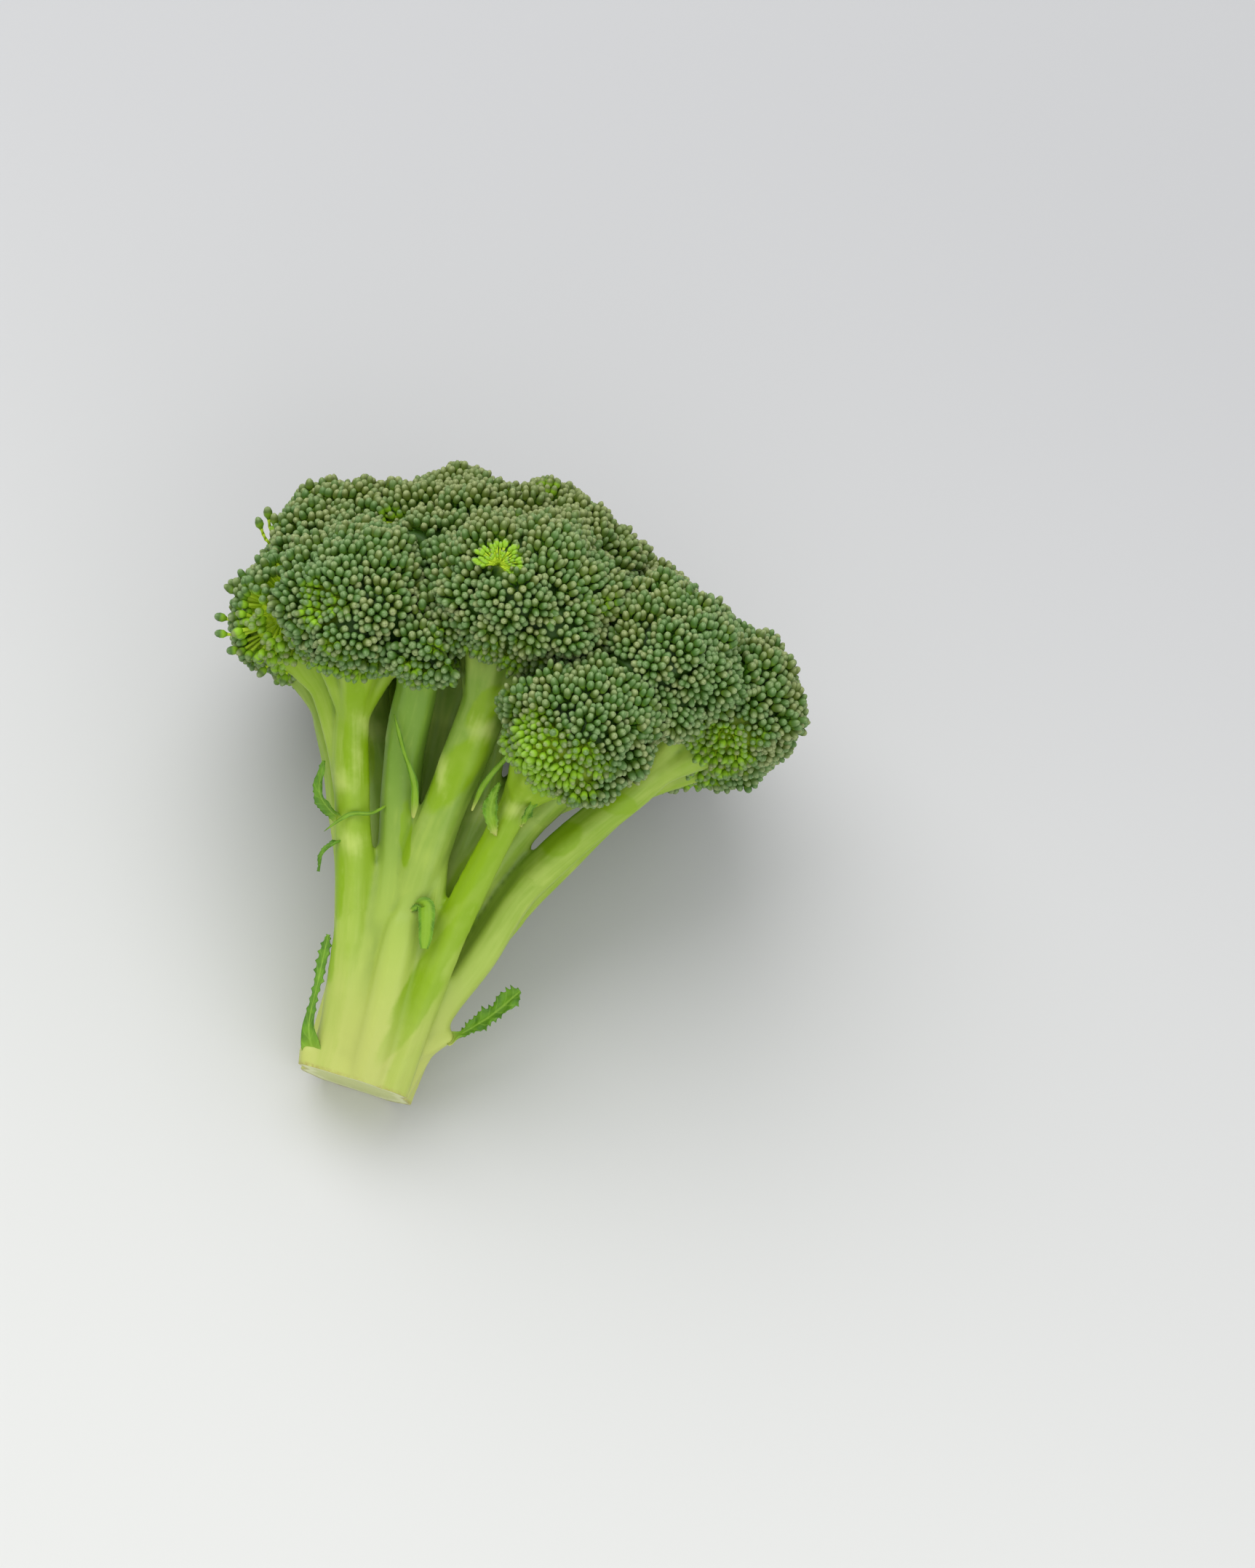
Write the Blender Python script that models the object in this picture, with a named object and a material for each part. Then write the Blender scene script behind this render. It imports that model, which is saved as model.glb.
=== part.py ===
"""A cut head of broccoli: a branching stalk that carries a dome of florets, with the small
leaves left on it when it was cut.

The head is laid out in its own growing frame, in millimetres: the cut end is the plane z = 0
with its middle at the origin, +Z runs up the stalk, +X is to the right and -Y to the front.
It is then laid on its back, so that it rests on the rim of its cut end and on the florets
behind it, and scaled to metres.
"""

import math
import random

import bmesh
import bpy
from mathutils import Matrix, Vector

MM = 0.001

# How the head lies: its stalk rises from the floor towards the crown, and it is rolled a
# little about its stalk, so that two florets behind it and the rim of its cut touch the floor.
# The shift brings the middle of its bounding box over the origin, and sinks it a hair, so that
# each place where it rests is pressed flat.
STALK_RISE = math.radians(24.311)
ROLL = math.radians(0.505)
REST_SHIFT = Vector((-6.71, -83.62, 13.07))

# Clearance between neighbouring pieces that touch on the real head.
GAP = 0.3

# Each floret: the middle of its dome, the dome's radius, where its branch comes from, which sets
# the way that the floret faces, and how far below the middle its underside would come to a
# point, as a share of the radius. Flat, umbrella-like florets have a small share.
FLORETS = {
    "floret_front_left": ((-37, -33, 127), 22.5, (-30, -22, 95), 1.2),
    "floret_front_centre": ((4, -40, 140.5), 26, (2, -29, 99), 1.05),
    "floret_front_low": ((28.5, -46, 114.5), 21, (20, -31, 93), 1.3),
    "floret_left_tip": ((-55.0, -19, 119.5), 16.5, (-37, -17, 98), 1.2),
    "floret_right_tip": ((65, -12, 133), 21.5, (48, -12, 102), 1.2),
    "floret_right_front": ((43.5, -32, 138), 22.5, (32, -13, 103), 1.3),
    "floret_top_left": ((-44.5, 3, 136.5), 24.5, (-26, 2, 98), 1.3),
    "floret_top_centre": ((-14, -5, 145), 29, (-8, 0, 102), 1.3),
    "floret_top_middle": ((8, -8, 152), 24, (7, -7, 108), 1.3),
    "floret_top_right": ((35.5, 0, 137), 26.5, (22, -2, 100), 1.3),
    "floret_top_back": ((10, 27, 144), 29, (4, 12, 100), 1.3),
    "floret_back_left": ((-32, 41, 128), 28.5, (-19, 26, 90), 1.3),
    "floret_back_centre": ((4, 48, 125), 19, (2, 30, 92), 1.3),
    "floret_back_right": ((39, 41, 127), 28.5, (24, 26, 90), 1.3),
    "floret_left_back": ((-53, 20, 120), 19.5, (-37, 12, 93), 1.3),
    "floret_right_back": ((63, 19, 129), 21, (46, 12, 98), 1.3),
    "floret_front_nook": ((-17, -40, 123), 13.5, (-14.5, -21, 94), 1.1),
}

# The buds of a floret are laid on a golden-angle spiral, larger than life. Their number goes
# with the square of the floret's radius.
BUDS_PER_SQUARE = 0.235
GOLDEN_ANGLE = math.pi * (3 - math.sqrt(5))
CAP_SHARE = 0.84
CAP_ANGLE = math.radians(112)
LAST_ANGLE = math.radians(148)
END_CORNERS = 8
BUD_HEIGHT = 1.3
BUD_FOOT = 0.9
UNDERSIDE_RELIEF = 0.8

# The bunches that make a floret's dome lumpy, as shares of its radius.
BUNCHES_PER_FLORET = 12
BUNCH_REACH = 0.67
BUNCH_RADIUS = 0.38
BUNCH_SPREAD = 0.08

# Below its dome a floret narrows in a cone. The cone is cut off before its point, and the
# branch meets the flat end that this leaves.
CONE_SLOPE = 1.0
POINT_CUT_OFF = 0.3

# Branches: the points that each runs through below its floret, and its radius at its foot and
# where it meets the floret. Each starts below the cut, which then trims them all level.
FOOT = -3.0
BRANCHES = {
    "floret_front_left": ([(-8, -6, FOOT), (-8.5, -8, 15), (-12, -12, 36), (-17, -15, 56), (-23.5, -18, 75)], 6.2, 4.9),
    "floret_left_tip": ([(-8, -6, FOOT), (-8.5, -8, 15), (-12, -12, 36), (-17, -15, 56), (-24.5, -17, 76)], 6.0, 3.8),
    "floret_front_centre": ([(2, -5, FOOT), (1, -8, 25), (0, -13, 52), (0, -20, 74)], 6.0, 7.0),
    "floret_front_low": ([(10, -8, FOOT), (11, -11, 15), (12, -15, 36), (14.6, -21, 62)], 5.2, 4.6),
    "floret_right_tip": ([(9, 0, FOOT), (12, -2, 12), (15.5, -5, 28), (22, -7, 46), (27.5, -9, 66), (36.5, -11, 84)], 6.2, 5.2),
    "floret_right_front": ([(7, -2, FOOT), (10, -4, 30), (15, -6, 60), (23, -9, 84)], 5.5, 5.2),
    "floret_top_left": ([(-4, 0, FOOT), (-6, 0, 30), (-10, 0, 60), (-17, 1, 82)], 7.0, 6.0),
    "floret_top_centre": ([(0, 1, FOOT), (-2, 1, 30), (-4, 1, 60), (-6, 1, 84)], 7.5, 7.0),
    "floret_top_middle": ([(3, -1, FOOT), (4, -2, 35), (6, -4, 66), (8, -6, 90)], 5.5, 5.0),
    "floret_top_right": ([(4, 1, FOOT), (6, 0, 35), (10, -2, 66), (16, -3, 86)], 7.0, 6.2),
    "floret_top_back": ([(2, 3, FOOT), (2, 5, 35), (2, 7, 65), (3, 9, 86)], 7.0, 6.5),
    "floret_back_left": ([(-6, 8, FOOT), (-7, 10, 28), (-10, 15, 54), (-14, 20, 74)], 6.4, 5.8),
    "floret_back_centre": ([(1, 9, FOOT), (1, 11, 28), (1, 17, 54), (1, 24, 74)], 5.8, 4.8),
    "floret_back_right": ([(7, 8, FOOT), (8, 10, 28), (13, 15, 54), (18, 20, 74)], 6.4, 5.8),
    "floret_left_back": ([(-10, 4, FOOT), (-11.5, 6, 28), (-18, 9, 54), (-28, 11, 76)], 5.6, 4.8),
    "floret_right_back": ([(11, 4, FOOT), (14, 6, 25), (23, 8, 52), (35, 10, 77)], 5.8, 4.8),
    "floret_front_nook": ([(-3, -4, FOOT), (-3, -8, 25), (-5, -12, 50), (-9.5, -15, 72)], 6.4, 5.8),
}
BRANCH_SIDES = 9
BRANCH_STEP = 11.0
BRANCH_WAIST = 0.92

# The heart of the stalk that the branches grow from, and the foot of a leaf stem cut off short.
HEART = ([(0, 0, FOOT), (0, 0, 20), (0, 0, 45), (0, 2, 70)], 14.5, 7.0)
LEAF_STUB = ([(3, -8, FOOT), (2.5, -12, 12), (1.2, -15, 30), (0, -17, 44), (-0.3, -17.3, 50)], 5.8, 4.4)

# Small leaves: where the stem leaves the stalk, where the blade ends, the way its upper face
# looks, its widest half and how much it arches. The blade has cut teeth on both edges.
LEAVES = {
    "leaf_right": ((20.9, -6, 21), (36, -12, 40), (-0.5, -0.8, 0.35), 3.4, 2.2),
    "leaf_left": ((-16.4, -9, 11), (-20.3, -13, 38), (-0.9, -0.45, 0.0), 2.6, 1.6),
    "leaf_stub_flap": ((0.5, -20.4, 51.6), (8.6, -23.8, 44), (0.5, -0.8, 0.4), 2.6, 1.8),
    "leaf_edge_high": ((-28.9, -21.9, 72), (-34.6, -26, 83), (-0.8, -0.6, 0.1), 1.8, 1.0),
    "leaf_edge_low": ((-25.3, -20.5, 63), (-26.5, -19.5, 55.5), (-0.9, -0.4, 0.2), 1.5, 0.8),
    "bract_centre": ((-8.2, -25.2, 84), (-20, -33, 102), (0.3, -0.95, 0.0), 1.7, 1.6),
    "bract_right": ((11.4, -30, 90), (12.8, -34, 105), (-0.2, -0.95, 0.0), 1.5, 1.2),
    "bract_low_left": ((15.4, -32.9, 81.5), (13.2, -34.5, 93.5), (-0.2, -0.95, 0.0), 2.5, 0.8),
    "bract_low_right": ((23.2, -33.6, 84), (26.4, -38, 95), (0.6, -0.75, 0.1), 1.7, 1.0),
}
LEAF_STATIONS = 9
LEAF_TOOTH = 0.7
LEAF_THICKNESS = 0.8
LEAF_STEM_HALF = 0.9

STALK_COLOUR = (0.42, 0.56, 0.12, 1)
FLORET_COLOUR = (0.06, 0.13, 0.035, 1)
LEAF_COLOUR = (0.09, 0.22, 0.03, 1)
FRESH_ROUGHNESS = 0.45
BUD_ROUGHNESS = 0.6


def clear_scene():
    for obj in list(bpy.data.objects):
        bpy.data.objects.remove(obj, do_unlink=True)


def material(name, colour, roughness):
    made = bpy.data.materials.new(name)
    made.use_nodes = True
    shader = made.node_tree.nodes["Principled BSDF"]
    shader.inputs["Base Color"].default_value = colour
    shader.inputs["Roughness"].default_value = roughness
    shader.inputs["Metallic"].default_value = 0.0
    return made


def lying_matrix():
    """From the growing frame to the lying one: rolled about the stalk, then tipped on its back."""
    tipped = Matrix.Rotation(STALK_RISE - math.pi / 2, 4, "X")
    rolled = Matrix.Rotation(ROLL, 4, "Z")
    return Matrix.Translation(REST_SHIFT) @ tipped @ rolled


def lay_down(mesh, lying):
    """Lays the mesh on its back, presses flat what would sink in the floor, and scales it."""
    for vertex in mesh.vertices:
        place = lying @ vertex.co
        place.z = max(place.z, 0.0)
        vertex.co = place * MM


def add_object(name, mesh, look, lying):
    lay_down(mesh, lying)
    mesh.shade_smooth()
    mesh.materials.append(look)
    obj = bpy.data.objects.new(name, mesh)
    bpy.context.scene.collection.objects.link(obj)
    return obj


def facing(name):
    """The unit vector from a floret's branch to its dome."""
    centre, _, fork, _ = FLORETS[name]
    return (Vector(centre) - Vector(fork)).normalized()


def spiral_direction(turn, height):
    """A unit vector on the golden-angle spiral: its turn number and its height along +Z."""
    across = math.sqrt(max(0.0, 1 - height * height))
    angle = turn * GOLDEN_ANGLE
    return Vector((across * math.cos(angle), across * math.sin(angle), height))


def bud_directions(count, phase, depth):
    """Directions from a floret's middle: close together over its dome, sparser below it, and
    then the corners and the middle of its flat end."""
    rim, last = math.cos(CAP_ANGLE), math.cos(LAST_ANGLE)
    found = []
    for i in range(count):
        share = (i + 0.5) / count
        if share < CAP_SHARE:
            height = 1 - share / CAP_SHARE * (1 - rim)
        else:
            height = rim - (share - CAP_SHARE) / (1 - CAP_SHARE) * (rim - last)
        found.append(spiral_direction(i + phase, height))
    end_width = POINT_CUT_OFF * CONE_SLOPE / (depth - POINT_CUT_OFF)
    for k in range(END_CORNERS):
        angle = 2 * math.pi * k / END_CORNERS
        found.append(Vector((end_width * math.cos(angle), end_width * math.sin(angle), -1)).normalized())
    found.append(Vector((0, 0, -1)))
    return found


def bunches_of(phase, radius):
    """Middles and radii of the bunches that make up a floret's dome."""
    chance = random.Random(round(phase * 100))
    rim = math.cos(CAP_ANGLE)
    found = []
    for i in range(BUNCHES_PER_FLORET):
        height = 1 - (i + 0.5) / BUNCHES_PER_FLORET * (1 - rim)
        size = 1 + chance.uniform(-BUNCH_SPREAD, BUNCH_SPREAD)
        direction = spiral_direction(i + phase, height)
        found.append((direction * radius * BUNCH_REACH, radius * BUNCH_RADIUS * size))
    return found


def reach_of_bunches(direction, bunches, least):
    """How far the lumpy dome reaches in a direction: the furthest bunch that the ray meets."""
    reach = least
    for middle, size in bunches:
        along = direction.dot(middle)
        inside = along * along - middle.length_squared + size * size
        if along > 0 and inside > 0:
            reach = max(reach, along + math.sqrt(inside))
    return reach


def walls_of(name):
    """Planes that keep a floret off its neighbours, as (unit normal, distance) from its middle."""
    centre, radius, _, _ = FLORETS[name]
    centre = Vector(centre)
    found = []
    for other, (other_centre, other_radius, _, _) in FLORETS.items():
        if other == name:
            continue
        away = Vector(other_centre) - centre
        distance = away.length
        share = (distance * distance + radius * radius - other_radius * other_radius) / (2 * distance)
        found.append((away / distance, share - GAP / 2))
    return found


def floret_reach(direction, relief, bunches, walls, radius, depth):
    """The distance from a floret's middle to its skin. Direction is in the floret's own frame."""
    reach = reach_of_bunches(direction, bunches, radius * 0.8)
    across = math.sqrt(max(0.0, 1 - direction.z * direction.z))
    slant = across - direction.z * CONE_SLOPE
    if slant > 0:
        cone = depth * radius * CONE_SLOPE / slant
        if cone < reach:
            reach = cone
            relief *= UNDERSIDE_RELIEF
    reach += relief
    if direction.z < 0:
        reach = min(reach, -(depth - POINT_CUT_OFF) * radius / direction.z)
    for normal, distance in walls:
        toward = direction.dot(normal)
        if toward > 0:
            reach = min(reach, distance / toward)
    return reach


def floret_mesh(name, index):
    """A dome of bunches, raised into a bud at each point of a spiral and sunk between the buds."""
    centre, radius, _, depth = FLORETS[name]
    turned = facing(name).to_track_quat("Z", "Y")
    phase = index * 7.3
    bunches = bunches_of(phase, radius)
    back = turned.inverted()
    walls = [(back @ normal, distance) for normal, distance in walls_of(name)]

    hull = bmesh.new()
    for direction in bud_directions(round(BUDS_PER_SQUARE * radius * radius), phase, depth):
        hull.verts.new(direction)
    bmesh.ops.convex_hull(hull, input=hull.verts)
    hull.normal_update()

    made = bmesh.new()

    def skin_point(direction, relief):
        direction = direction.normalized()
        reach = floret_reach(direction, relief, bunches, walls, radius, depth)
        return made.verts.new(Vector(centre) + turned @ (direction * reach))

    tips = {vertex: skin_point(vertex.co, BUD_HEIGHT) for vertex in hull.verts}
    feet = {face: skin_point(face.calc_center_median(), -BUD_FOOT) for face in hull.faces}
    for edge in hull.edges:
        one, two = edge.link_faces
        for vertex in edge.verts:
            made.faces.new((tips[vertex], feet[one], feet[two]))
    bmesh.ops.recalc_face_normals(made, faces=made.faces)
    mesh = bpy.data.meshes.new(name)
    made.to_mesh(mesh)
    hull.free()
    made.free()
    return mesh


def curve_point(points, t):
    """A point on the smooth curve through the points, with t from 0 to their last index."""
    i = min(int(t), len(points) - 2)
    f = t - i
    before = points[max(i - 1, 0)]
    start, end = points[i], points[i + 1]
    after = points[min(i + 2, len(points) - 1)]
    return 0.5 * (
        2 * start
        + (end - before) * f
        + (2 * before - 5 * start + 4 * end - after) * f * f
        + (3 * start - before - 3 * end + after) * f * f * f
    )


def smooth_route(points):
    """Evenly placed points along the curve, the first and last as given."""
    points = [Vector(p) for p in points]
    length = sum((b - a).length for a, b in zip(points, points[1:]))
    steps = max(4, round(length / BRANCH_STEP))
    return [curve_point(points, (len(points) - 1) * i / steps) for i in range(steps + 1)]


def tube_mesh(name, route, radii, last_direction=None, phase=0.0):
    """A closed round tube along a route, with a ring of vertices at each of its points."""
    made = bmesh.new()
    rings = []
    side = Vector((1, 0, 0))
    for i, place in enumerate(route):
        direction = (route[min(i + 1, len(route) - 1)] - route[max(i - 1, 0)]).normalized()
        if i == 0:
            direction = Vector((0, 0, 1))
        if i == len(route) - 1 and last_direction is not None:
            direction = last_direction
        side = (side - direction * side.dot(direction)).normalized()
        other = direction.cross(side)
        ring = []
        for k in range(BRANCH_SIDES):
            angle = 2 * math.pi * (k + phase) / BRANCH_SIDES
            offset = side * math.cos(angle) + other * math.sin(angle)
            ring.append(made.verts.new(place + offset * radii[i]))
        rings.append(ring)
    for lower, upper in zip(rings, rings[1:]):
        for k in range(BRANCH_SIDES):
            n = (k + 1) % BRANCH_SIDES
            made.faces.new((lower[k], lower[n], upper[n], upper[k]))
    made.faces.new(list(reversed(rings[0])))
    made.faces.new(rings[-1])
    bmesh.ops.recalc_face_normals(made, faces=made.faces)
    mesh = bpy.data.meshes.new(name)
    made.to_mesh(mesh)
    made.free()
    return mesh


def branch_mesh(name, index):
    """One branch, from below the cut to the flat end of its floret."""
    points, foot_radius, top_radius = BRANCHES[name]
    centre, radius, fork, depth = FLORETS[name]
    axis = facing(name)
    end = Vector(centre) - axis * ((depth - POINT_CUT_OFF) * radius + GAP)
    route = smooth_route(points + [fork, end])
    last = len(route) - 1
    radii = []
    for i in range(last + 1):
        share = i / last
        waist = 1 - (1 - BRANCH_WAIST) * math.sin(math.pi * share)
        radii.append((foot_radius + (top_radius - foot_radius) * share) * waist)
    return tube_mesh(f"branch_{name}", route, radii, last_direction=axis, phase=index * 0.37)


def plain_tube(name, points, foot_radius, top_radius, phase):
    route = smooth_route(points)
    last = len(route) - 1
    radii = [foot_radius + (top_radius - foot_radius) * (i / last) ** 2 for i in range(last + 1)]
    return tube_mesh(name, route, radii, phase=phase)


def trim_at_cut(mesh):
    """Cuts off what lies below z = 0 and closes the cut with one flat face."""
    made = bmesh.new()
    made.from_mesh(mesh)
    geometry = list(made.verts) + list(made.edges) + list(made.faces)
    cut = bmesh.ops.bisect_plane(
        made, geom=geometry, dist=1e-4, plane_co=(0, 0, 0), plane_no=(0, 0, 1), clear_inner=True
    )
    rim = [e for e in cut["geom_cut"] if isinstance(e, bmesh.types.BMEdge)]
    bmesh.ops.edgeloop_fill(made, edges=rim)
    bmesh.ops.triangulate(made, faces=made.faces)
    bmesh.ops.recalc_face_normals(made, faces=made.faces)
    made.to_mesh(mesh)
    made.free()


def stalk_mesh():
    """The branches, the heart of the stalk and the leaf stub, joined into one body."""
    meshes = [branch_mesh(name, i) for i, name in enumerate(BRANCHES)]
    meshes.append(plain_tube("leaf_stub", *LEAF_STUB, phase=0.2))
    tools = bpy.data.collections.new("branches")
    bpy.context.scene.collection.children.link(tools)
    for mesh in meshes:
        tools.objects.link(bpy.data.objects.new(mesh.name, mesh))
    heart = bpy.data.objects.new("heart", plain_tube("heart", *HEART, phase=0.1))
    bpy.context.scene.collection.objects.link(heart)
    join = heart.modifiers.new("join", "BOOLEAN")
    join.operation = "UNION"
    join.operand_type = "COLLECTION"
    join.collection = tools
    join.solver = "MANIFOLD"
    bpy.context.view_layer.update()
    joined = bpy.data.meshes.new_from_object(heart.evaluated_get(bpy.context.evaluated_depsgraph_get()))
    for obj in [heart, *tools.objects]:
        bpy.data.objects.remove(obj, do_unlink=True)
    bpy.data.collections.remove(tools)
    joined.name = "stalk"
    trim_at_cut(joined)
    return joined


def leaf_mesh(name):
    """A thin arched blade on a short stem, with teeth cut in both of its edges."""
    foot, tip, upper, half_width, arch = LEAVES[name]
    foot, tip, upper = Vector(foot), Vector(tip), Vector(upper)
    along = tip - foot
    length = along.length
    along.normalize()
    upper = (upper - along * upper.dot(along)).normalized()
    side = along.cross(upper)
    made = bmesh.new()
    rows = []
    for i in range(LEAF_STATIONS):
        share = i / (LEAF_STATIONS - 1)
        swell = math.sin(math.pi * min(1.0, max(0.0, (share - 0.12) / 0.98))) ** 0.8
        half = LEAF_STEM_HALF * (1 - 0.6 * share) + half_width * swell
        tooth = 1 + LEAF_TOOTH * (0.35 if i % 2 else -0.15)
        if 0 < i < LEAF_STATIONS - 1:
            half *= tooth
        lift = upper * arch * math.sin(math.pi * share)
        middle = foot + along * length * share + lift
        fold = upper * half * 0.25
        spots = (middle - side * half + fold, middle, middle + side * half + fold)
        row = [made.verts.new(spot) for spot in spots]
        thick = upper * LEAF_THICKNESS
        row += [made.verts.new(spot - thick) for spot in reversed(spots)]
        rows.append(row)
    count = len(rows[0])
    for lower, upper_row in zip(rows, rows[1:]):
        for k in range(count):
            n = (k + 1) % count
            made.faces.new((lower[k], lower[n], upper_row[n], upper_row[k]))
    made.faces.new(list(reversed(rows[0])))
    made.faces.new(rows[-1])
    bmesh.ops.triangulate(made, faces=made.faces)
    bmesh.ops.recalc_face_normals(made, faces=made.faces)
    mesh = bpy.data.meshes.new(name)
    made.to_mesh(mesh)
    made.free()
    return mesh


def build():
    clear_scene()
    lying = lying_matrix()
    stalk_look = material("stalk", STALK_COLOUR, FRESH_ROUGHNESS)
    floret_look = material("floret", FLORET_COLOUR, BUD_ROUGHNESS)
    leaf_look = material("leaf", LEAF_COLOUR, FRESH_ROUGHNESS)
    add_object("stalk", stalk_mesh(), stalk_look, lying)
    for index, name in enumerate(FLORETS):
        add_object(name, floret_mesh(name, index), floret_look, lying)
    for name in LEAVES:
        add_object(name, leaf_mesh(name), leaf_look, lying)


build()
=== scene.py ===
# %% [markdown]
# # A cut head of broccoli, lying on its back
#
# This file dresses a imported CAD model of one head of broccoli: a branching stalk, seventeen
# florets of closed flower buds and a few small leaves. The CAD holds their sizes and places.
# Here each of them gets the shape and the skin that the eye expects.

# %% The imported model
import math
import random

import bmesh
import bpy
import numpy as np
from mathutils import Matrix, Vector


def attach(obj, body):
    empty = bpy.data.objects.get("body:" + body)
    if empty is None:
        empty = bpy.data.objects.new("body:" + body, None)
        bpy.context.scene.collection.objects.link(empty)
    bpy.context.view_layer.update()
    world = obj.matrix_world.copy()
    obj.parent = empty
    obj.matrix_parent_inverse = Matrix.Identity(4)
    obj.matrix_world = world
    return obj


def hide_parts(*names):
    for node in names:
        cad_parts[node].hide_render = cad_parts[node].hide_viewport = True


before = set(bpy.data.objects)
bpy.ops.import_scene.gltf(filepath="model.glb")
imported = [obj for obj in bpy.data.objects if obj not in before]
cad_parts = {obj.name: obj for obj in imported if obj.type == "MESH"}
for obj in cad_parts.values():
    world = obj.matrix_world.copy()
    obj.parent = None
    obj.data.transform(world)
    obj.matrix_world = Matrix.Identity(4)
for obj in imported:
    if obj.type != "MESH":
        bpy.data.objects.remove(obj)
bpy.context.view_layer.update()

MM = 0.001
chance = np.random.default_rng(4)

# %% [markdown]
# ## Two ways to say where something is
#
# A plant is easiest to describe as it grows: millimetres, with the cut end at z = 0, the stalk
# rising along z, x to the right and y to the back. The model lies on its back instead, in
# metres. One turn and one shift lead from the first to the second, and they are the same ones
# that the CAD used, so both agree to a hair.

# %% From the growing head to the lying head
STALK_RISE = math.radians(24.311)
ROLL = math.radians(0.505)
REST_SHIFT = np.array((-6.71, -83.62, 13.07))
LYING = np.array(Matrix.Rotation(STALK_RISE - math.pi / 2, 3, "X") @ Matrix.Rotation(ROLL, 3, "Z"))


def laid(points):
    """Growing millimetres to lying metres."""
    return (np.asarray(points, float) @ LYING.T + REST_SHIFT) * MM


def unit(vectors):
    """Each row made one long."""
    vectors = np.asarray(vectors, float)
    return vectors / np.maximum(np.linalg.norm(vectors, axis=-1, keepdims=True), 1e-9)


def ramp(values, low, high):
    """0 below low, 1 above high, and a smooth step between."""
    share = np.clip((values - low) / (high - low), 0, 1)
    return share * share * (3 - 2 * share)


# %% [markdown]
# ## Making a mesh from arrays
#
# The head has some twelve thousand buds, so meshes are put together as numpy arrays of points
# and faces, and handed to Blender whole. Each point can also carry numbers, such as how near
# it is to the tip of its bud, which a material reads later as an attribute.

# %% A mesh object from arrays
def mesh_object(name, points, faces, values=None, vectors=None):
    """Makes an object from growing points. Values and vectors are attributes of its points.

    Points that would sink into the surface below the head are pressed flat on it."""
    places = laid(points)
    places[:, 2] = np.maximum(places[:, 2], 0)
    mesh = bpy.data.meshes.new(name)
    mesh.from_pydata(places.tolist(), [], faces)
    for label, numbers in (values or {}).items():
        layer = mesh.attributes.new(label, "FLOAT", "POINT")
        layer.data.foreach_set("value", np.asarray(numbers, np.float32))
    for label, numbers in (vectors or {}).items():
        layer = mesh.attributes.new(label, "FLOAT_VECTOR", "POINT")
        layer.data.foreach_set("vector", np.asarray(numbers, np.float32).ravel())
    mesh.shade_smooth()
    obj = bpy.data.objects.new(name, mesh)
    bpy.context.scene.collection.objects.link(obj)
    return obj


class Pile:
    """Collects many small shapes into one mesh, with the same attributes for all of them."""

    def __init__(self):
        self.points, self.faces, self.values, self.count = [], [], {}, 0

    def add(self, points, faces, **values):
        """Adds one shape, with a number or a row of numbers for each label."""
        points = np.asarray(points, float).reshape(-1, 3)
        self.faces += [[index + self.count for index in face] for face in faces]
        self.points.append(points)
        self.count += len(points)
        for label, numbers in values.items():
            full = np.broadcast_to(np.asarray(numbers, float), (len(points),))
            self.values.setdefault(label, []).append(full)

    def make(self, name, vectors=None):
        """Makes one object of all the shapes."""
        values = {label: np.concatenate(parts) for label, parts in self.values.items()}
        return mesh_object(name, np.vstack(self.points), self.faces, values, vectors)


# %% Round shapes along straight lines
def side_axes(axes):
    """Two unit vectors square to each axis."""
    helper = np.where(np.abs(axes[:, 2:]) < 0.9, (0.0, 0.0, 1.0), (1.0, 0.0, 0.0))
    first = unit(np.cross(helper, axes))
    return first, np.cross(axes, first)


def turned_shapes(profile, sides, feet, axes, lengths, radii, twists, lobes=None):
    """Turns one profile, of (radius share, height share) rings and an end point, about many axes.

    Returns the points as (shape, point, xyz), and the faces of one shape."""
    first, second = side_axes(axes)
    rings = profile[:-1]
    angles = np.arange(sides) * 2 * math.pi / sides
    around = angles[None, :] + twists[:, None]
    outward = np.cos(around)[..., None] * first[:, None] + np.sin(around)[..., None] * second[:, None]
    parts = []
    for r, (width, height) in enumerate(rings):
        ring = outward * (radii * width)[:, None, None]
        if lobes is not None:
            ring = ring * (1 - lobes[r] * (np.arange(sides) % 2))[None, :, None]
        parts.append(feet[:, None] + axes[:, None] * (lengths * height)[:, None, None] + ring)
    parts.append((feet + axes * (lengths * profile[-1][1])[:, None])[:, None])
    points = np.concatenate(parts, axis=1)
    faces = [list(range(sides))[::-1]]
    for r in range(len(rings) - 1):
        low, high = r * sides, (r + 1) * sides
        for k in range(sides):
            n = (k + 1) % sides
            faces.append([low + k, low + n, high + n, high + k])
    top, end = (len(rings) - 1) * sides, len(rings) * sides
    faces += [[top + k, top + (k + 1) % sides, end] for k in range(sides)]
    return points, faces


def repeated_faces(faces, shapes, points_each):
    """The faces of one shape, repeated for many shapes in a row."""
    return [[i + s * points_each for i in face] for s in range(shapes) for face in faces]


# %% Smooth curves
def curve(points, steps):
    """Points evenly along the smooth curve through the given points."""
    points = np.array(points, float)
    t = np.linspace(0, len(points) - 1, steps + 1)
    i = np.minimum(t.astype(int), len(points) - 2)
    f = (t - i)[:, None]
    before, start = points[np.maximum(i - 1, 0)], points[i]
    end, after = points[i + 1], points[np.minimum(i + 2, len(points) - 1)]
    return 0.5 * (
        2 * start
        + (end - before) * f
        + (2 * before - 5 * start + 4 * end - after) * f**2
        + (3 * start - before - 3 * end + after) * f**3
    )


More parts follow.
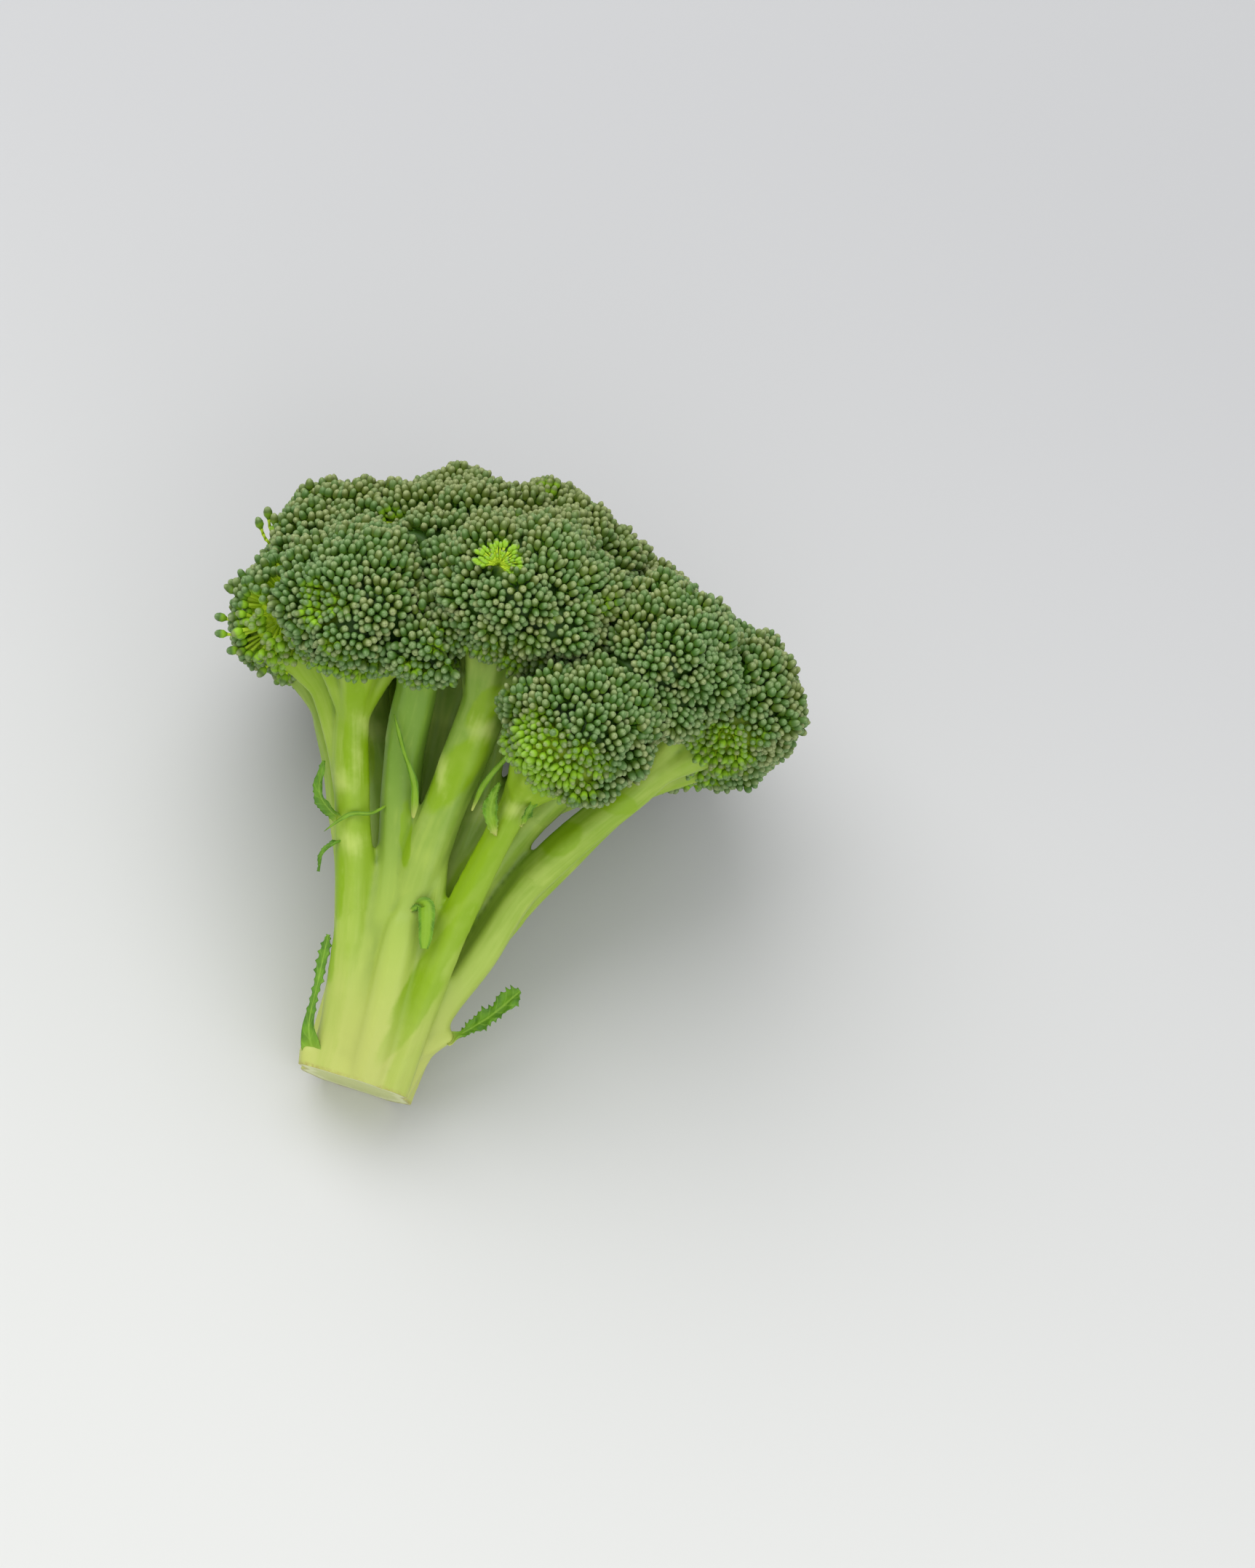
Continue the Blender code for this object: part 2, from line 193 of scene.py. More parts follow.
# %% [markdown]
# ## The florets
#
# A floret is a dome of bunches, and each bunch is a dome of small mounds, and each mound holds
# a few dozen closed buds that fan out from one point, like a posy. The buds are about 2 mm
# across. Drawing them as a bump pattern would look like an orange: what makes a floret
# is that each bud casts its own shadow and that the buds of one mound lean away from those of
# the next. So every bud is a real shape here.
#
# The table below repeats the CAD's: the middle of each dome, its radius, the point that its
# branch comes from, and how deep its underside is, as a share of the radius. The last two
# numbers are the looks: how young and yellow-green it is low down, and how loosely its buds
# stand.

# %% Where the florets are
FLORETS = {
    "front_left": ((-37, -33, 127), 22.5, (-30, -22, 95), 1.2, 0.35, 1.03),
    "front_centre": ((4, -40, 140.5), 26, (2, -29, 99), 1.05, 0.35, 1.0),
    "front_low": ((28.5, -46, 114.5), 21, (20, -31, 93), 1.3, 0.8, 1.0),
    "left_tip": ((-55.0, -19, 119.5), 16.5, (-37, -17, 98), 1.2, 0.75, 1.2),
    "right_tip": ((65, -12, 133), 21.5, (48, -12, 102), 1.2, 0.5, 1.02),
    "right_front": ((43.5, -32, 138), 22.5, (32, -13, 103), 1.3, 0.35, 1.0),
    "top_left": ((-44.5, 3, 136.5), 24.5, (-26, 2, 98), 1.3, 0.4, 1.06),
    "top_centre": ((-14, -5, 145), 29, (-8, 0, 102), 1.3, 0.25, 1.0),
    "top_middle": ((8, -8, 152), 24, (7, -7, 108), 1.3, 0.2, 1.0),
    "top_right": ((35.5, 0, 137), 26.5, (22, -2, 100), 1.3, 0.25, 1.0),
    "top_back": ((10, 27, 144), 29, (4, 12, 100), 1.3, 0.25, 1.0),
    "back_left": ((-32, 41, 128), 28.5, (-19, 26, 90), 1.3, 0.4, 1.0),
    "back_centre": ((4, 48, 125), 19, (2, 30, 92), 1.3, 0.4, 1.0),
    "back_right": ((39, 41, 127), 28.5, (24, 26, 90), 1.3, 0.4, 1.0),
    "left_back": ((-53, 20, 120), 19.5, (-37, 12, 93), 1.3, 0.6, 1.1),
    "right_back": ((63, 19, 129), 21, (46, 12, 98), 1.3, 0.5, 1.0),
    "front_nook": ((-17, -40, 123), 13.5, (-14.5, -21, 94), 1.1, 0.45, 1.03),
}
GOLDEN_ANGLE = math.pi * (3 - math.sqrt(5))
RIM_HEIGHT = math.cos(math.radians(112))
BUNCHES, BUNCH_REACH, BUNCH_RADIUS, BUNCH_SPREAD = 12, 0.67, 0.38, 0.08
CONE_SLOPE, POINT_CUT_OFF = 1.0, 0.3
LEAST_REACH = 0.84

# How softly bunches melt together, and how far the creases between florets are filled.
MELT = 1.1
CREASE_FILL, CREASE_WIDTH = 3.4, 4.5


def spiral(count, phase, low=-1.0):
    """Directions on a golden-angle spiral from the pole down to a height."""
    heights = 1 - (np.arange(count) + 0.5) / count * (1 - low)
    across = np.sqrt(np.maximum(0, 1 - heights * heights))
    angles = (np.arange(count) + phase) * GOLDEN_ANGLE
    return np.stack((across * np.cos(angles), across * np.sin(angles), heights), axis=1)


# %% The shape of a floret
class Floret:
    """One floret's shape, in its own frame: its middle at the origin and its dome up +Z."""

    def __init__(self, name, index):
        centre, self.radius, fork, self.depth, self.youth, self.looseness = FLORETS[name]
        self.name = name
        self.centre = np.array(centre, float)
        axis = Vector(centre) - Vector(fork)
        self.turn = np.array(axis.to_track_quat("Z", "Y").to_matrix())
        self.phase = index * 7.3
        draw = random.Random(round(self.phase * 100))
        sizes = np.array([1 + draw.uniform(-BUNCH_SPREAD, BUNCH_SPREAD) for _ in range(BUNCHES)])
        self.middles = spiral(BUNCHES, self.phase, RIM_HEIGHT) * self.radius * BUNCH_REACH
        self.sizes = sizes * self.radius * BUNCH_RADIUS
        self.find_walls()

    def find_walls(self):
        """Planes half way to each neighbour, as unit normals and distances."""
        normals, distances = [], []
        for other, (centre, radius, *_) in FLORETS.items():
            if other != self.name:
                away = np.array(centre, float) - self.centre
                gap = np.linalg.norm(away)
                normals.append(away / gap @ self.turn)
                distances.append((gap * gap + self.radius**2 - radius**2) / (2 * gap))
        self.wall_normals, self.wall_distances = np.array(normals), np.array(distances)

    def dome(self, directions):
        """How far the bunches reach in each direction, and which bunch it is.

        Where bunches meet, the crowd of them fills the crease a little."""
        along = directions @ self.middles.T
        inside = along**2 - (self.middles**2).sum(axis=1) + self.sizes**2
        hit = np.where((along > 0) & (inside > 0), along + np.sqrt(np.maximum(inside, 0)), 0)
        hit = np.maximum(hit, LEAST_REACH * self.radius)
        furthest = hit.max(axis=1)
        crowd = np.exp((hit - furthest[:, None]) / MELT).sum(axis=1) - (BUNCHES - 1) * 0.02
        return furthest + MELT * np.log(np.maximum(crowd, 1)).clip(0, 1), hit.argmax(axis=1)

    def cone(self, directions):
        """How far it is to the underside, which narrows towards the branch."""
        across = np.sqrt(np.maximum(0, 1 - directions[:, 2] ** 2))
        slant = across - directions[:, 2] * CONE_SLOPE
        reach = self.depth * self.radius * CONE_SLOPE / np.maximum(slant, 1e-6)
        return np.where(slant > 0, reach, 1e3)

    def reach(self, directions):
        """How far the floret's skin is in each direction: its dome, or its underside.

        The crease between two florets is filled a little, so that the head reads as one."""
        dome, cone = self.dome(directions)[0], self.cone(directions)
        room = self.wall_room(directions * dome[:, None])
        dome = dome + CREASE_FILL * np.exp(-np.maximum(room, 0) / CREASE_WIDTH)
        return np.minimum(dome, cone)

    def wall_room(self, points):
        """How far each point is inside the nearest wall. Negative is beyond it."""
        return (self.wall_distances - points @ self.wall_normals.T).min(axis=1)

    def out(self, points):
        """From the floret's own frame to the growing frame."""
        return points @ self.turn.T + self.centre


florets = [Floret(name, index) for index, name in enumerate(FLORETS)]
print("florets:", len(florets), "with", BUNCHES, "bunches each")

# %% [markdown]
# ## Where the buds stand
#
# Real buds crowd each other into an even, slightly irregular packing. A plain spiral of points
# would show its rows, and random points would leave holes. So a dense spiral is gone through in
# random order, points too near one kept before are left out, and then all of them push their
# neighbours away a few times while they slide on the floret's skin. The buds wrap round under
# the dome as far as the branch, as they do on a real head.

# %% Spreading buds over a floret
BUD_PITCH = 1.88
CANDIDATES = 24
FIRST_CLEARANCE = 0.84
PUSH_ROUNDS, PUSH_REACH, PUSH_SHARE = 7, 1.12, 0.35
WALL_CLEARANCE = 0.25
LAST_BUD_ANGLE = math.radians(152)
BARE_FOOT, BARE_MARGIN = 0.3, 1.5
LOWEST_LEVEL, CLEAR_LEVEL = 0.5, 0.85
GAP_GAIN = 4.2
OPEN_HOLE = 4.2

# Slow waves in three directions, whose crests thin out a loose floret.
GAP_WAVES = np.array(((0.42, 0.11, -0.2), (-0.13, 0.4, 0.18), (0.16, -0.21, 0.38)))

# Open spots, where short young buds show the stems below them: one near the top of the middle
# floret, and a crease on the right one.
OPEN_SPOTS = np.array([
    (-4.6, -62.0, 152.2), (71.5, -30.5, 131.5), (69.0, -31.5, 126.0), (66.5, -30.5, 119.0),
])
SPOT_SHARES = np.array([1.3, 0.42, 0.5, 0.4])


def thin_out(points, clearance):
    """Keeps points in their order while each is clear of those kept before it."""
    kept = np.empty((0, 3))
    chosen = []
    for i, point in enumerate(points):
        if not len(kept) or ((kept - point) ** 2).sum(axis=1).min() > clearance * clearance:
            kept = np.vstack((kept, point))
            chosen.append(i)
    return np.array(chosen)


def push_apart(points, pitch, settle):
    """Neighbours nearer than the pitch push each other, and settle brings them back."""
    for _ in range(PUSH_ROUNDS):
        gap = points[:, None] - points[None]
        distance = np.linalg.norm(gap, axis=2) + np.eye(len(points)) * 99
        push = np.clip(1 - distance / (pitch * PUSH_REACH), 0, None) / distance
        points = settle(points + (gap * push[..., None]).sum(axis=1) * pitch * PUSH_SHARE)
    return points


def in_open_air(floret, points):
    """Which points are clear of the neighbours and of the branch below."""
    off_axis = np.linalg.norm(points[:, :2], axis=1)
    level = points[:, 2] / floret.radius + floret.depth
    clear = (level > CLEAR_LEVEL) | (off_axis > BARE_FOOT * floret.radius + BARE_MARGIN)
    shallow = level > LOWEST_LEVEL
    return clear & shallow & (floret.wall_room(points) > WALL_CLEARANCE)


def bud_places(floret):
    """Points evenly over the open part of a floret's skin."""
    pitch = BUD_PITCH * floret.looseness
    count = round(floret.radius**2 * CANDIDATES)
    candidates = spiral(count, floret.phase, math.cos(LAST_BUD_ANGLE))
    candidates = candidates[chance.permutation(len(candidates))]

    def settle(moved):
        directions = unit(moved)
        return directions * floret.reach(directions)[:, None]

    points = settle(candidates)
    points = points[in_open_air(floret, points)]
    points = points[thin_out(points, pitch * FIRST_CLEARANCE)]
    points = push_apart(points, pitch, settle)
    points = points[in_open_air(floret, points)]
    waves = np.sin(points @ GAP_WAVES + floret.phase).prod(axis=1)
    points = points[waves < 1.0 - GAP_GAIN * (floret.looseness - 1.0)]
    return points[np.linalg.norm(floret.out(points) - OPEN_SPOTS[0], axis=1) > OPEN_HOLE]


places = {floret.name: bud_places(floret) for floret in florets}
print("buds in all:", sum(len(found) for found in places.values()))

# %% [markdown]
# ## A bud
#
# A closed broccoli bud is a small barrel on a thin stem. Four green sepals fold over its top,
# so the top is a little flat, four-lobed and dimpled in the middle. Eight sides are enough for
# that: every second corner is pulled in near the top, which leaves four lobes.

# %% Buds on their stems
BUD_PROFILE = [(0.4, 0.0), (0.96, 0.3), (1.0, 0.6), (0.74, 0.87), (0.3, 1.0), (0.0, 0.96)]
BUD_LOBES = [0.0, 0.0, 0.06, 0.16, 0.3]
TIP_SHARES = [0.0, 0.3, 0.6, 0.87, 1.0, 1.15]
BUD_SIDES = 8
BUD_RADIUS = 1.12
BUD_LENGTH = 3.3
MOUND_PITCH, MOUND_DEPTH, MOUND_RISE, MOUND_LEAN = 7.2, 6.2, 1.6, 0.4
UPWARD_PULL = 0.85
BUD_FOOT_SHARE = 0.62
SPOT_SINK = 2.2
# How much buds differ in lean, height, width and length, in a tight floret, and how much more
# in a loose one.
LEAN_SPREAD, LOOSE_LEAN = 0.13, 0.6
LIFT_SPREAD, LOOSE_LIFT = 0.24, 2.4
WIDTH_SPREAD, LOOSE_WIDTH = 0.09, 0.6
LENGTH_SPREAD = 0.08
STEM_PROFILE = [(1.0, 0.0), (0.8, 0.5), (1.1, 1.0), (0.0, 1.02)]
STEM_SIDES = 5

# Young places, where the buds are still yellow-green.
YOUNG_PLACES = [
    # middle, reach, strength
    ((18, -60, 108), 13, 0.85),
    ((22, -62, 101), 17, 1.0),
    ((32, -62, 103), 15, 0.75),
    ((-60, -30, 113), 17, 0.8),
    ((-47, -48, 124), 12, 0.6),
    ((-40, -50, 113), 9, 0.5),
    ((-12, -54, 124), 9, 0.45),
    ((-17, -52, 115), 8, 0.55),
    ((5, -56, 124), 12, 0.55),
    ((68, -28, 122), 17, 0.75),
    ((25, -54, 148), 5, 0.45),
    ((-36, -18, 152), 8, 0.6),
    ((-68, -3, 141), 8, 0.8),
    ((-8, -14, 174), 8, 0.5),
    ((-1, -12, 174), 8, 0.5),
    ((52, -20, 156), 7, 0.5),
    ((-28, 55, 108), 13, 0.7),
    ((45, 52, 106), 14, 0.8),
    ((4, 60, 112), 9, 0.6),
    ((-66, 24, 112), 10, 0.7),
    ((74, 20, 120), 10, 0.6),
]


def mounds_of(floret, buds):
    """Mound middles picked among the buds, the mound of each bud, and the mounds' roots."""
    order = chance.permutation(len(buds))
    seeds = buds[order[thin_out(buds[order], MOUND_PITCH)]]
    nearest = np.linalg.norm(buds[:, None] - seeds[None], axis=2).argmin(axis=1)
    bunch = floret.dome(unit(seeds))[1]
    up = unit(seeds - floret.middles[bunch] * MOUND_LEAN)
    depth = MOUND_DEPTH * (1 + 3 * (floret.looseness - 1))
    return seeds, nearest, seeds - up * depth


def bud_youth(floret, buds):
    """How yellow-green each bud is, and how near it is to the middle of an open spot."""
    level = buds[:, 2] / floret.radius + floret.depth
    youth = (1 - ramp(level, 0.5, 0.75 + 0.7 * floret.youth)) * (0.4 + 0.6 * floret.youth)
    where = floret.out(buds)
    for middle, reach, strength in YOUNG_PLACES:
        away = np.linalg.norm(where - np.array(middle, float), axis=1) / reach
        youth = np.maximum(youth, strength * (1 - ramp(away, 0.3, 1.0)))
    away = np.linalg.norm(where[:, None] - OPEN_SPOTS[None], axis=2)
    spot = 1 - ramp(away / SPOT_SHARES, 1.5, 7.0).min(axis=1)
    return np.clip(np.maximum(youth, spot), 0, 1), spot


def add_buds(pile, points, axes, lengths, radii, seed, youth):
    """Adds a closed bud for each foot point."""
    twists = chance.uniform(0, 2 * math.pi, len(points))
    shapes, faces = turned_shapes(
        BUD_PROFILE, BUD_SIDES, points, axes, lengths, radii, twists, BUD_LOBES
    )
    each = shapes.shape[1]
    tip = np.append(np.repeat(TIP_SHARES[:-1], BUD_SIDES), TIP_SHARES[-1])
    pile.add(
        shapes.reshape(-1, 3),
        repeated_faces(faces, len(points), each),
        tip=np.tile(tip, len(points)),
        seam=np.tile(np.append(np.tile((0.0, 1.0), (each - 1) // 2), 0.5), len(points)),
        seed=np.repeat(seed, each),
        youth=np.repeat(youth, each),
    )


def add_stems(pile, feet, ends, radii, seed, youth):
    """Adds a thin straight stem between each pair of points."""
    run = ends - feet
    lengths = np.linalg.norm(run, axis=1)
    shapes, faces = turned_shapes(
        STEM_PROFILE, STEM_SIDES, feet, unit(run), lengths, radii, np.zeros(len(feet))
    )
    each = shapes.shape[1]
    pile.add(
        shapes.reshape(-1, 3),
        repeated_faces(faces, len(feet), each),
        tip=-1.0,
        seam=0.0,
        seed=np.repeat(seed, each),
        youth=np.repeat(youth, each),
    )


def dress_floret(floret):
    """One mesh of buds and the thin stems that carry them."""
    buds = places[floret.name]
    seeds, mound, roots = mounds_of(floret, buds)
    youth, spot = bud_youth(floret, buds)
    count = len(buds)
    loose = floret.looseness - 1
    upper = ramp(unit(buds) @ floret.turn[2], -0.3, 0.7)[:, None]
    fan = unit(buds - roots[mound]) + UPWARD_PULL * upper * floret.turn[2]
    axes = unit(fan + chance.normal(0, LEAN_SPREAD + LOOSE_LEAN * loose, (count, 3)))
    from_seed = np.linalg.norm(buds - seeds[mound], axis=1)
    lift = MOUND_RISE * (1 - (from_seed / (MOUND_PITCH * 0.6)) ** 2).clip(-0.6, 1)
    lift = lift + chance.normal(0, LIFT_SPREAD + LOOSE_LIFT * loose, count)
    lift = lift - SPOT_SINK * ramp(spot, 0.45, 1.0)
    size = chance.normal(1, WIDTH_SPREAD, count).clip(0.78, 1.22) * (1 + LOOSE_WIDTH * loose)
    radii = BUD_RADIUS * size * (1 - 0.5 * spot) * (1 - 0.18 * youth)
    lengths = BUD_LENGTH * chance.normal(1, LENGTH_SPREAD, count).clip(0.75, 1.3) * (1 - 0.4 * spot)
    feet = buds + axes * (lift - lengths * BUD_FOOT_SHARE)[:, None]
    seed = chance.uniform(0, 1, count)
    pile = Pile()
    add_buds(pile, floret.out(feet), axes @ floret.turn.T, lengths, radii, seed, youth)
    stem_youth = np.maximum(youth, ramp(floret.looseness, 1.02, 1.15))
    stem_ends = floret.out(feet + axes * 0.5)
    add_stems(pile, floret.out(roots[mound]), stem_ends, radii * 0.45, seed, stem_youth)
    add_core(pile, floret)
    return pile


# %% The open spot on the middle floret
POSY_ROOT = np.array((-4.4, -60.0, 149.4))
POSY_STEMS = 64
POSY_REACH = (2.0, 5.8)
POSY_KNEE, POSY_END = (0.0, -3.1, 0.0), (0.0, -3.4, 0.0)


def open_posy():
    """Thin young stems that fan out sideways and up from one root, and arch to the front."""
    pile = Pile()
    turns = np.linspace(-0.6, math.pi + 0.6, POSY_STEMS) + chance.normal(0, 0.08, POSY_STEMS)
    reach = chance.uniform(*POSY_REACH, POSY_STEMS)
    out = np.stack((np.cos(turns), turns * 0, np.sin(turns) * 0.85 + 0.1), axis=1) * reach[:, None]
    ends = POSY_ROOT + out + POSY_END
    knees = POSY_ROOT + out * 0.45 + POSY_KNEE
    feet = np.repeat(POSY_ROOT[None], POSY_STEMS, axis=0)
    seed = chance.uniform(0, 1, POSY_STEMS)
    youth = np.ones(POSY_STEMS)
    add_stems(pile, feet, knees, np.full(POSY_STEMS, 0.3), seed, youth)
    add_stems(pile, knees, ends, np.full(POSY_STEMS, 0.24), seed, youth)
    way = unit(ends - knees)
    add_buds(pile, ends - way * 0.3, way, 0.8 + reach * 0.22, 0.26 + reach * 0.07, seed, youth * 0.8)
    return pile


posy = open_posy().make("open_posy")

# %% The green heart behind the buds, painted dark as shade in older florets
CORE_DEPTH = 3.4
CORE_CUT = 0.52
CORE_CLEARANCE = 0.4


def add_core(pile, floret):
    """A closed body a little below the buds, so that no gap shows through the floret.

    In an older floret its colour is a dark green that stands for painted shade between the buds.
    """
    ball = bmesh.new()
    bmesh.ops.create_icosphere(ball, subdivisions=5, radius=1)
    directions = np.array([v.co for v in ball.verts])
    faces = [[v.index for v in face.verts] for face in ball.faces]
    ball.free()
    reach = floret.reach(directions) - CORE_DEPTH * (1 + 4 * (floret.looseness - 1))
    down = np.minimum(directions[:, 2], -1e-6)
    cut = (floret.depth - CORE_CUT) * floret.radius
    reach = np.where(directions[:, 2] < 0, np.minimum(reach, -cut / down), reach)
    toward = directions @ floret.wall_normals.T
    limit = np.where(toward > 1e-6, floret.wall_distances / np.maximum(toward, 1e-6), 1e3).min(axis=1)
    reach = np.minimum(reach, limit - CORE_CLEARANCE)
    points = directions * reach[:, None]
    youth = np.maximum(bud_youth(floret, points)[0], ramp(floret.looseness, 1.05, 1.2))
    pile.add(floret.out(points), faces, tip=-2.0, seam=0.0, seed=0.5, youth=youth)


# %% Every floret
floret_pieces = [posy]
for floret in florets:
    piece = dress_floret(floret).make(f"floret_buds_{floret.name}")
    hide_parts(f"floret_{floret.name}")
    floret_pieces.append(piece)

# A small bunch with no walls of its own fills the hollow under the rim of the middle floret.
NO_WALL = 99.0
FLORETS["front_fill"] = ((-13.0, -43.0, 130.0), 10.5, (-11, -26, 104), 1.0, 0.3, 1.0)
filler = Floret("front_fill", len(florets))
filler.wall_distances = filler.wall_distances + NO_WALL
places["front_fill"] = bud_places(filler)
floret_pieces.append(dress_floret(filler).make("floret_buds_front_fill"))
for piece in floret_pieces:
    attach(piece, "root")
print("bud pieces:", len(floret_pieces), "faces:", sum(len(p.data.polygons) for p in floret_pieces))

# %% [markdown]
# ## Stragglers
#
# At the loose left edge of the head a few buds have grown out of the pack, and hang or stand
# on thin curved stems of their own.

# %% Stragglers
STRAGGLERS = [
    # where the stem leaves the floret, where the bud sits
    ((-53.5, -20, 109), (-52.0, -21, 102.6)),
    ((-51.0, -18, 111), (-49.6, -19, 105.0)),
    ((-57.5, -21, 109), (-58.2, -22, 102.8)),
    ((-66.0, -19, 116), (-73.4, -20, 113.2)),
    ((-65.0, -20, 113), (-71.8, -22, 109.0)),
    ((-62.0, -20, 111), (-67.4, -21, 105.8)),
    ((-65.0, -2, 137), (-71.4, -4, 144.4)),
    ((-66.0, -4, 136), (-72.6, -6, 141.0)),
    ((-65.0, -4, 138), (-69.0, -6, 143.2)),
]

STRAGGLER_STEPS = 6
STRAGGLER_BEND = 0.12
STRAGGLER_BUD_LENGTH, STRAGGLER_BUD_RADIUS = 3.5, 1.25


def straggler(pile, foot, end):
    """One bud on a thin stem that bends a little."""
    foot, end = np.array(foot, float), np.array(end, float)
    sideways = np.cross(end - foot, (0.0, 1.0, 0.0)) * STRAGGLER_BEND
    route = curve([foot, (foot + end) / 2 + sideways, end], STRAGGLER_STEPS)
    seed = chance.uniform(0, 1, STRAGGLER_STEPS)
    radii, youth = np.full(STRAGGLER_STEPS, 0.5), np.full(STRAGGLER_STEPS, 0.8)
    add_stems(pile, route[:-1], route[1:], radii, seed, youth)
    way = unit(route[-1:] - route[-2:-1])
    length, radius = np.array([STRAGGLER_BUD_LENGTH]), np.array([STRAGGLER_BUD_RADIUS])
    add_buds(pile, route[-1:] - way * 1.2, way, length, radius, seed[:1], np.array([0.3]))


straggler_pile = Pile()
for foot, end in STRAGGLERS:
    straggler(straggler_pile, foot, end)
stragglers = straggler_pile.make("straggler_buds")
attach(stragglers, "root")
floret_pieces.append(stragglers)

# %% [markdown]
# ## The stalk
#
# The stalk is many branches that run side by side and have grown together. Each branch is a
# round tube along a smooth curve, from the cut to its floret, where it widens and splits into
# short fingers that carry the bunches. All tubes are melted into one body, which is then
# softened, so that the branches meet in soft grooves as they do on a real stalk.
#
# The table repeats the CAD's branches: the points that each runs through and its radius at
# both ends. The last number is the looks: how fresh and green its skin is. Where it is low, the
# skin turns a darker muted green, partly the branch's own duller colour and partly painted
# shade; it is low for branches set back in recesses.

# %% Where the branches run
FOOT = -3.0
BRANCHES = {
    "front_left": (
        [(-8, -6, FOOT), (-8.5, -8, 15), (-12, -12, 36), (-17, -15, 56), (-23.5, -18, 75)],
        6.2, 4.9, 0.8,
    ),
    "left_tip": (
        [(-8, -6, FOOT), (-8.5, -8, 15), (-12, -12, 36), (-17, -15, 56), (-24.5, -17, 76)],
        6.0, 3.8, 0.7,
    ),
    "front_centre": ([(2, -5, FOOT), (1, -8, 25), (0, -13, 52), (0, -20, 74)], 6.0, 7.0, 0.35),
    "front_low": ([(10, -8, FOOT), (11, -11, 15), (12, -15, 36), (14.6, -21, 62)], 5.2, 4.6, 1.0),
    "right_tip": (
        [(9, 0, FOOT), (12, -2, 12), (15.5, -5, 28), (22, -7, 46), (27.5, -9, 66), (36.5, -11, 84)],
        6.2, 5.2, 0.55,
    ),
    "right_front": ([(7, -2, FOOT), (10, -4, 30), (15, -6, 60), (23, -9, 84)], 5.5, 5.2, 0.4),
    "top_left": ([(-4, 0, FOOT), (-6, 0, 30), (-10, 0, 60), (-17, 1, 82)], 7.0, 6.0, 0.35),
    "top_centre": ([(0, 1, FOOT), (-2, 1, 30), (-4, 1, 60), (-6, 1, 84)], 7.5, 7.0, 0.35),
    "top_middle": ([(3, -1, FOOT), (4, -2, 35), (6, -4, 66), (8, -6, 90)], 5.5, 5.0, 0.35),
    "top_right": ([(4, 1, FOOT), (6, 0, 35), (10, -2, 66), (16, -3, 86)], 7.0, 6.2, 0.35),
    "top_back": ([(2, 3, FOOT), (2, 5, 35), (2, 7, 65), (3, 9, 86)], 7.0, 6.5, 0.35),
    "back_left": ([(-6, 8, FOOT), (-7, 10, 28), (-10, 15, 54), (-14, 20, 74)], 6.4, 5.8, 0.7),
    "back_centre": ([(1, 9, FOOT), (1, 11, 28), (1, 17, 54), (1, 24, 74)], 5.8, 4.8, 0.3),
    "back_right": ([(7, 8, FOOT), (8, 10, 28), (13, 15, 54), (18, 20, 74)], 6.4, 5.8, 0.9),
    "left_back": ([(-10, 4, FOOT), (-11.5, 6, 28), (-18, 9, 54), (-28, 11, 76)], 5.6, 4.8, 0.5),
    "right_back": ([(11, 4, FOOT), (14, 6, 25), (23, 8, 52), (35, 10, 77)], 5.8, 4.8, 0.6),
    "front_nook": ([(-3, -4, FOOT), (-3, -8, 25), (-5, -12, 50), (-9.5, -15, 72)], 6.4, 5.8, 0.1),
}
HEART = ([(0, 0, FOOT), (0, 0, 20), (0, 0, 45), (0, 2, 70)], 14.5, 7.0, 0.2)
LEAF_STUB = (
    [(3, -8, FOOT), (2.5, -12, 12), (1.2, -15, 30), (0, -17, 44), (-0.3, -17.3, 50)], 5.8, 4.4, 0.05,
)

# The web between the middle branch and the one right of it, the rounded top of the leaf stub,
# three webs low in the grooves, the swollen foot of the right leaf, and the ledge that the left
# leaf grows from.
WEBS_AND_FEET = [
    ([(8, -9, 22), (8.4, -13, 40), (6.6, -17, 58), (3.6, -20, 74)], 3.4, 1.2, 0.5),
    ([(0, -15.5, 44), (0.2, -16.6, 50), (0.6, -17.0, 58), (0.4, -18.0, 68)], 4.6, 2.6, 0.1),
    ([(-6, -8, 8), (-7, -11.5, 26), (-8.5, -13.2, 44), (-11.5, -15, 62)], 4.2, 1.8, 0.3),
    ([(-2.5, -9, 6), (-3.5, -12.0, 22), (-4.2, -13.2, 38)], 4.2, 2.0, 0.1),
    ([(6.5, -9, 4), (6.8, -12.2, 18), (6.4, -14.2, 36), (5.0, -15.0, 46)], 3.8, 1.4, 0.3),
    ([(12, -5, 14), (16.0, -6, 18.0), (19.2, -6, 20.8), (22.2, -6.5, 23.0)], 3.7, 1.5, 0.3),
    ([(-9, -6, FOOT), (-12.5, -7.5, 3), (-14.0, -8.3, 7), (-14.2, -8.4, 8.5)], 4.0, 2.4, 0.2),
]

# %% Tubes
TUBE_SIDES = 18
TUBE_STEPS = 40
BRANCH_WAIST = 0.92
KNOT_SIZE = 0.03
FLARE_WIDTH = 0.5
INSIDE_SHARE = 0.68
FINGER_STEPS = 10


def add_tube(pile, route, radii):
    """A closed round tube along a route, a ring of points at each of its stops."""
    ways = unit(np.gradient(route, axis=0))
    side = np.array((1.0, 0.0, 0.0))
    angles = np.arange(TUBE_SIDES) * 2 * math.pi / TUBE_SIDES
    rings = []
    for place, way, radius in zip(route, ways, radii):
        side = unit(side - way * (side @ way))
        other = np.cross(way, side)
        rings.append(place + radius * (np.outer(np.cos(angles), side) + np.outer(np.sin(angles), other)))
    faces = [list(range(TUBE_SIDES))[::-1]]
    for r in range(len(route) - 1):
        for k in range(TUBE_SIDES):
            n = (k + 1) % TUBE_SIDES
            low, high = r * TUBE_SIDES, (r + 1) * TUBE_SIDES
            faces.append([low + k, low + n, high + n, high + k])
    faces.append([(len(route) - 1) * TUBE_SIDES + k for k in range(TUBE_SIDES)])
    pile.add(np.vstack(rings), faces)


